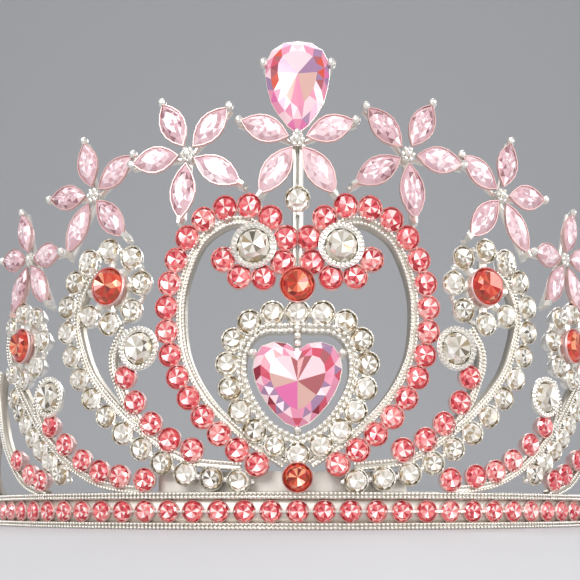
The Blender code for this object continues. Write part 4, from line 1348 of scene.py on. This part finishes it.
class TIARA_OT_large_stones(bpy.types.Operator):
    """Set the corals and the large clear stones in their settings"""

    bl_idname = "tiara.large_stones"
    bl_label = "Large round stones"

    def execute(self, context):
        sizes = context.scene.tiara_sizes
        kinds = {"coral": ([], [], []), "clear": ([], [], [])}
        across, up = SCROLL_STONE_PLACE
        for side in (1, -1):
            nub = place(side * (across + SCROLL_SEAT / 2 + SOLDER), up - SOLDER)
            kinds["clear"][0].append(ball(nub, CLUSTER_NUB))
        rng = random.Random(12)
        for name, (across, up), stone, seat in large_round_stones():
            clear = "curl" in name or "scroll" in name
            cups, stones, nodes = kinds["clear" if clear else "coral"]
            rim = seat if clear else min(seat, stone + CORAL_RIM)
            held = stone + CLEAR_EXTRA if clear else min(stone + CORAL_EXTRA, rim - CORAL_WALL)
            matrix = place(across, up, LARGE_STONE_TURN * (across > 0), LARGE_SEAT_OUT)
            cups.append(transformed(setting(rim, LARGE_CUP_SIDES, held / rim), matrix))
            for width in (rim - sizes.bead, held + sizes.bead) if clear else ():
                spots = ring(width, round(math.pi * width / sizes.bead_pitch / LARGE_PITCH))
                cups += [ball_at(matrix, p.x, LARGE_BEAD_OUT, sizes.bead / 2, p.y, 6, 4) for p in spots]
            cut = round_cut(held, LARGE_CROWN, rng, CLEAR_SIDES if clear else CORAL_SIDES)
            stones.append(transformed(raised(cut, GIRDLE_OUT), matrix))
            nodes.append(name)
        metal_piece("clear_settings_large", kinds["clear"][0])
        metal_piece("coral_settings_large", kinds["coral"][0], "silver with painted pink reflection")
        for kind, (_, stones, nodes) in kinds.items():
            made = new_object(f"large_{kind}_stones", stones, coat(kind))
            handed_over(made, f"{kind}_crystal", *nodes)
        for side, word in ((1, "right"), (-1, "left")):
            metal_piece(f"daisy_trays_{word}", seat_trays(side))
        return {"FINISHED"}


def marquise(length, width, count=6):
    """Outline of two arcs that meet in a point at each end."""
    lower = []
    for i in range(count):
        share = -1 + 2 * i / count
        lower.append(Vector((share * length / 2, -(1 - share * share) * width / 2)))
    return lower + [Vector((-p.x, -p.y)) for p in lower]


class TIARA_OT_flowers(bpy.types.Operator):
    """Make the flowers: petals in thin settings, arms, hubs and ball prongs"""

    bl_idname = "tiara.flowers"
    bl_label = "Flowers"

    def execute(self, context):
        rng = random.Random(21)

        def tone(k, spot):
            """Deep towards the edge, bright along the middle: painted shade at the edge and painted
            highlights in the middle.
            """
            if k < 0:
                return 0.3
            if k < 1:
                return rng.choice((0.05, 0.2, 0.3, 0.4, 0.6))
            if k < 2:
                return rng.choice((0.05, 0.3, 0.5, 0.6, 0.95))
            return rng.choice((0.2, 0.35, 0.5, 0.6, 0.8, 0.97))

        kinds = {"petal": (PETAL_LENGTH, [], []), "foot_petal": (FOOT_PETAL_LENGTH, [], [])}
        reach = PETAL_START + PETAL_LENGTH
        parts = []
        balls = []
        for name, (across, up), angles in flowers():
            parts += hub_parts(across, up)
            for i, angle in enumerate(angles, 1):
                matrix = place(across, up, angle)
                foot = FOOT_ANGLES[0] < angle % 360.0 < FOOT_ANGLES[1]
                length, places, nodes = kinds["foot_petal" if foot else "petal"]
                nodes.append(f"{name}_petal_{i}")
                places.append((matrix @ Matrix.Translation((PETAL_START + length / 2, 0.0, 0.0)), 1.0))
                if foot:
                    start = PETAL_START + length - CLAW_OVER_PETAL
                    parts.append(box_bar(matrix, 0.0, reach + FOOT_REACH, *FOOT_ARM))
                    parts.append(box_bar(matrix, start, start + CLAW_LENGTH, *FOOT_CLAW))
                else:
                    parts.append(box_bar(matrix, 0.0, reach + ARM_PAST_PETAL, *PETAL_ARM))
                    balls.append(ball_at(matrix, reach + BALL_PAST_PETAL, *PETAL_BALL))
        for kind, (length, places, nodes) in kinds.items():
            handed_over(set_on(f"{kind}_settings", places, [petal_rim(length)], "silver with painted pink reflection"), "silver")
            shape = marquise(length, PETAL_WIDTH)
            stone = cut_stone(shape, (0.0, 0.0), PETAL_RINGS, PETAL_TABLE, PETAL_CULET, tone)
            petals = set_on(f"{kind}s", places, [raised(stone, PETAL_GIRDLE)], "pale", 7)
            handed_over(petals, "pale_pink_crystal", *nodes)
        metal_piece("flower_metal", parts + balls)
        return {"FINISHED"}


def petal_rim(length):
    """Thin wall round a petal of a length, closed behind it."""
    rim = 2 * bpy.context.scene.tiara_sizes.petal_rim
    outside = marquise(length + rim, PETAL_WIDTH + rim)
    inside = marquise(length, PETAL_WIDTH)
    wall = [([p * PETAL_BACK_SHARE for p in outside], PETAL_BACK)]
    wall += [(outside, PETAL_WALL), (outside, PETAL_EDGE), (inside, PETAL_EDGE), (inside, PETAL_SEAT)]
    return stack(wall)


def hub_parts(across, up):
    """Cluster of small balls on a stalk at the middle of a flower."""
    matrix = place(across, up)
    parts = [stack([(ring(HUB * share, 12), out) for share, out in HUB_STALK], matrix)]
    parts.append(ball_at(matrix, 0.0, *HUB_BALL))
    return parts + [ball_at(matrix, p.x, *HUB_BEAD, p.y, 8, 5) for p in ring(HUB * HUB_BEAD_RING, 6)]


def rounded(points, count):
    """A count of even points on the smooth closed curve through an outline, from its first point."""
    return even(smooth(points + [points[0]], FANCY_STEP), count + 1)[:-1]


def star_tone(spot, star):
    """Tone of a facet under the table, from its direction in degrees and the limits of a star."""
    angle = math.degrees(math.atan2(spot.y, spot.x))
    return next(tone for limit, tone in star if angle <= limit)


def fancy_stone(name, shape, centre, rings, table, tone, matrix):
    """Cut the heart or the pear over its outline; the thin cup behind it is the first part of its metal."""
    cut = raised(cut_stone(shape, centre, rings, table, FANCY_CULET, tone), FANCY_GIRDLE)
    stone = new_object(name, [transformed(cut, matrix)], coat("heart"))
    handed_over(stone, "pink_crystal", f"{name}_stone")
    middle = Vector(centre)
    levels = [([middle + (p - middle) * share for p in shape], out) for share, out in FANCY_CUP]
    return [stack(levels, matrix)]


class TIARA_OT_heart(bpy.types.Operator):
    """Cut the heart and hold it in its frame"""

    bl_idname = "tiara.heart"
    bl_label = "Heart"

    def execute(self, context):
        rng = random.Random(4)

        def tone(k, spot):
            """Painted reflections: pale kites in the upper middle, deep rose low on the left, mixed facets at
            the edge.
            """
            if k < 0:
                return ROSE
            if k >= 2:
                return star_tone(spot, HEART_STAR)
            if k >= 1 and spot.y < 0:
                return rng.choice((PINK, PALE, MAUVE, WHITE))
            if k >= 1:
                return rng.choice((ROSE, ROSE, BROWN, PINK, PALE, WHITE))
            return rng.choice((PINK, PINK, PALE, ROSE, MAUVE, DEEP))

        shape = rounded(outline(HEART_OUTLINE, HEART_WIDTH, HEART_HEIGHT), HEART_CORNERS)
        centre = (0.0, HEART_HEIGHT * HEART_STAR_CENTRE)
        foot = place(0.0, HEART_FOOT)
        parts = fancy_stone("heart", shape, centre, HEART_RINGS, HEART_TABLE, tone, foot)
        up = place(0.0, HEART_FOOT, 90.0)
        cleft = HEART_HEIGHT * HEART_OUTLINE[-1][1]
        top = HEART_FRAME_TOP - HEART_FOOT
        parts.append(box_bar(up, cleft - NECK_OVERLAP, top, *HEART_NECK))
        for i in range(CLEFT_BALLS):
            height = cleft - BALL_OVERLAP + (top - cleft) * i / (CLEFT_BALLS - 1)
            parts.append(ball_at(up, height, CLEFT_BALL_OUT - CLEFT_BALL_DROP * i, CLEFT_BALL_RADIUS))
        for side in (1, -1):
            arm = place(0.0, HEART_FOOT + HEART_HEIGHT * HEART_ARM_UP, 90.0 - side * HEART_ARM_LEAN)
            reach = HEART_FRAME_WIDTH * HEART_ARM_END
            parts.append(box_bar(arm, HEART_WIDTH * ARM_START, reach, *HEART_ARM))
            parts.append(ball_at(arm, HEART_WIDTH * HEART_CLAW_SHARE, *HEART_CLAW))
        parts.append(box_bar(up, HEART_FRAME_FOOT - HEART_FOOT, HEART_FOOT_BAR_TOP, *HEART_ARM))
        parts.append(ball_at(up, -BALL_OVERLAP, *HEART_BALL))
        metal_piece("heart_metal", parts)
        return {"FINISHED"}


class TIARA_OT_pear(bpy.types.Operator):
    """Cut the pear and hold it on its neck with two ball prongs"""

    bl_idname = "tiara.pear"
    bl_label = "Pear"

    def execute(self, context):
        rng = random.Random(9)

        def tone(k, spot):
            """Painted reflections and shade: pale in the middle with rose facets towards the upper sides."""
            if k < 0:
                return ROSE
            if k >= 2:
                return star_tone(spot, PEAR_STAR)
            if k >= 1 and abs(spot.x) > 0.22 * PEAR_WIDTH and spot.y > -0.1 * PEAR_HEIGHT:
                return rng.choice((ORANGE, BROWN, DEEP, MAUVE, ROSE))
            if k >= 1:
                return rng.choice((PINK, PALE, WHITE))
            return rng.choice((PINK, PALE, PINK, MAGENTA, MAUVE))

        shape = rounded(outline(PEAR_OUTLINE, PEAR_WIDTH, PEAR_HEIGHT), PEAR_CORNERS)
        centre = (0.0, PEAR_HEIGHT * STONE_CENTRE)
        parts = fancy_stone("pear", shape, centre, PEAR_RINGS, PEAR_TABLE, tone, place(0.0, PEAR_FOOT))
        for side in (1, -1):
            arm = place(0.0, PEAR_FOOT + PEAR_HEIGHT * PEAR_ARM_UP, 90.0 - side * PEAR_ARM_LEAN)
            reach = PEAR_WIDTH * PEAR_ARM_END + PEAR_ARM_EXTRA
            parts.append(box_bar(arm, PEAR_WIDTH * ARM_START, reach, *PEAR_ARM))
            parts.append(ball_at(arm, reach, *PEAR_CLAW))
        up = place(0.0, FLOWER_UP, 90.0)
        parts.append(box_bar(up, 0.0, PEAR_ABOVE_FLOWER + PEAR_HEIGHT * PEAR_NECK_SHARE, *PEAR_NECK))
        parts.append(ball_at(up, PEAR_ABOVE_FLOWER, *PEAR_BALL))
        metal_piece("pear_metal", parts)
        return {"FINISHED"}


class TIARA_OT_stem(bpy.types.Operator):
    """Make the two bars of the stem, which reach down between the cluster's stones"""

    bl_idname = "tiara.stem"
    bl_label = "Stem"

    def execute(self, context):
        up = place(0.0, 0.0, 90.0)
        parts = []
        for side in (1, -1):
            bar = up @ Matrix.Translation((0.0, side * STEM_WIDTH * STEM_BAR_ASIDE, 0.0))
            parts.append(box_bar(bar, MIDDLE_UP + MIDDLE_SEAT / 2, FLOWER_UP, *STEM_BAR))
        metal_piece("stem", parts)
        return {"FINISHED"}


def seat_trays(side):
    """Metal behind the daisies of one side: a small plate and a bar to every stone of the ring."""
    parts = []
    for across, up in (DAISY_PLACE, OUTER_DAISY_PLACE):
        centre = place(side * across, up)
        plate = ring(TRAY_PLATE, TRAY_SIDES)
        lip = ring(TRAY_LIP, TRAY_SIDES)
        parts.append(stack([(plate, -RAIL_HALF_DEPTH), (plate, 0.0), (lip, TRAY_LIP_OUT)], centre))
        for i in range(8):
            bar = centre @ Matrix.Rotation(math.radians(i * DAISY_STEP), 4, "Z")
            parts.append(box_bar(bar, DAISY_CORAL / 2, DAISY_TRAY / 2, *SPOKE))
    return parts


class TIARA_OT_back_strip(bpy.types.Operator):
    """Give the plate behind the band its finish"""

    bl_idname = "tiara.back_strip"
    bl_label = "Back strip"

    def execute(self, context):
        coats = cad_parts["back_strip"].data.materials
        coats.clear()
        coats.append(coat("pale plate"))
        return {"FINISHED"}


# Stage: lights as place, size and power, and the profile of the floor, which curves up into a wall.
LIGHTS = {
    "key": ((-0.22, -0.50, 0.34), 0.34, 2.5),
    "fill": ((0.40, -0.36, 0.14), 0.26, 1.1),
    "top": ((0.0, 0.05, 0.55), 0.24, 0.45),
    "back": ((0.18, 0.45, 0.35), 0.25, 0.9),
}
LIGHT_AIM = (0.0, 0.0, 0.035)
SKY = (0.80, 0.82, 0.85, 1.0)
SKY_STRENGTH = 0.66
FLOOR_FRONT = -2.0
FLOOR_HALF_WIDTH = 6.0
COVE_RADIUS = 0.35
WALL_BACK = 1.1
WALL_HEIGHT = 2.4


class TIARA_OT_stage(bpy.types.Operator):
    """Set the floor, the lights and the camera"""

    bl_idname = "tiara.stage"
    bl_label = "Stage"

    def execute(self, context):
        floor = cove(context.scene.tiara_colours.floor)
        for name, (spot, size, power) in LIGHTS.items():
            soft_light(name, spot, size, power)
        world = bpy.data.worlds.new("studio")
        world.use_nodes = True
        sky = world.node_tree.nodes["Background"].inputs
        sky["Color"].default_value = SKY
        sky["Strength"].default_value = SKY_STRENGTH
        context.scene.world = world
        front = PLAN_MIDDLE - PLAN_DEPTH - BAND_HALF_DEPTH
        lens = bpy.data.cameras.new("camera")
        lens.sensor_width = SENSOR
        lens.lens = FOCAL_PIXELS / PHOTO_SIDE * SENSOR
        lens.shift_x = (PHOTO_SIDE / 2 - CENTRE_PIXEL) / PHOTO_SIDE
        lens.shift_y = (HORIZON_PIXEL - PHOTO_SIDE / 2) / PHOTO_SIDE
        lens.clip_start = 0.002
        lens.clip_end = 10.0
        camera = linked("camera", lens)
        camera.location = (0.0, front - CAMERA_DISTANCE, CAMERA_HEIGHT)
        camera.rotation_euler = (math.pi / 2, 0.0, 0.0)
        context.scene.camera = camera
        context.scene.view_settings.view_transform = "Standard"
        return {"FINISHED"}


def cove(colour):
    """Pale floor that curves up into a wall behind the tiara."""
    bend = WALL_BACK - COVE_RADIUS
    line = [(FLOOR_FRONT, 0.0), (bend, 0.0)]
    for i in range(1, 13):
        turn = math.pi / 2 * i / 12
        line.append((bend + COVE_RADIUS * math.sin(turn), COVE_RADIUS - COVE_RADIUS * math.cos(turn)))
    line.append((WALL_BACK, WALL_HEIGHT))
    vertices = [(side * FLOOR_HALF_WIDTH, back, up) for back, up in line for side in (-1, 1)]
    faces = [(2 * i, 2 * i + 1, 2 * i + 3, 2 * i + 2) for i in range(len(line) - 1)]
    mesh = bpy.data.meshes.new("floor")
    mesh.from_pydata(vertices, [], faces)
    mesh.polygons.foreach_set("use_smooth", [True] * len(faces))
    material, _, shader = new_material("pale floor")
    shader["Base Color"].default_value = (*colour, 1.0)
    shader["Roughness"].default_value = 0.7
    mesh.materials.append(material)
    return linked("floor", mesh)


def soft_light(name, spot, size, power):
    """Square soft light that points at the middle of the tiara."""
    lamp = bpy.data.lights.new(name, "AREA")
    lamp.size = size
    lamp.energy = power
    made = linked(name, lamp)
    made.location = spot
    made.rotation_euler = (Vector(LIGHT_AIM) - Vector(spot)).to_track_quat("-Z", "Y").to_euler()


PIECES = (
    TIARA_OT_rails,
    TIARA_OT_milgrain,
    TIARA_OT_band,
    TIARA_OT_small_stones,
    TIARA_OT_large_stones,
    TIARA_OT_flowers,
    TIARA_OT_heart,
    TIARA_OT_pear,
    TIARA_OT_stem,
    TIARA_OT_back_strip,
    TIARA_OT_stage,
)


class TIARA_PT_panel(bpy.types.Panel):
    """Sidebar panel that lists the pieces, their sizes and their colours"""

    bl_idname = "TIARA_PT_panel"
    bl_label = "Tiara"
    bl_space_type = "VIEW_3D"
    bl_region_type = "UI"
    bl_category = "Tiara"

    def draw(self, context):
        layout = self.layout
        for group in (context.scene.tiara_sizes, context.scene.tiara_colours):
            for name in group.bl_rna.properties.keys():
                if name not in ("rna_type", "name"):
                    layout.prop(group, name)
        for piece in PIECES:
            layout.operator(piece.bl_idname)


CLASSES = (TiaraSizes, TiaraColours, *PIECES, TIARA_PT_panel)


def register():
    """Register the classes and hang the two groups on the scene."""
    for item in CLASSES:
        bpy.utils.register_class(item)
    bpy.types.Scene.tiara_sizes = PointerProperty(type=TiaraSizes)
    bpy.types.Scene.tiara_colours = PointerProperty(type=TiaraColours)


def unregister():
    """Take the groups and the classes away again."""
    del bpy.types.Scene.tiara_colours
    del bpy.types.Scene.tiara_sizes
    for item in reversed(CLASSES):
        bpy.utils.unregister_class(item)


def main():
    """Dress the tiara piece by piece."""
    register()
    for piece in PIECES:
        group, name = piece.bl_idname.split(".")
        getattr(getattr(bpy.ops, group), name)()


if __name__ == "__main__":
    main()
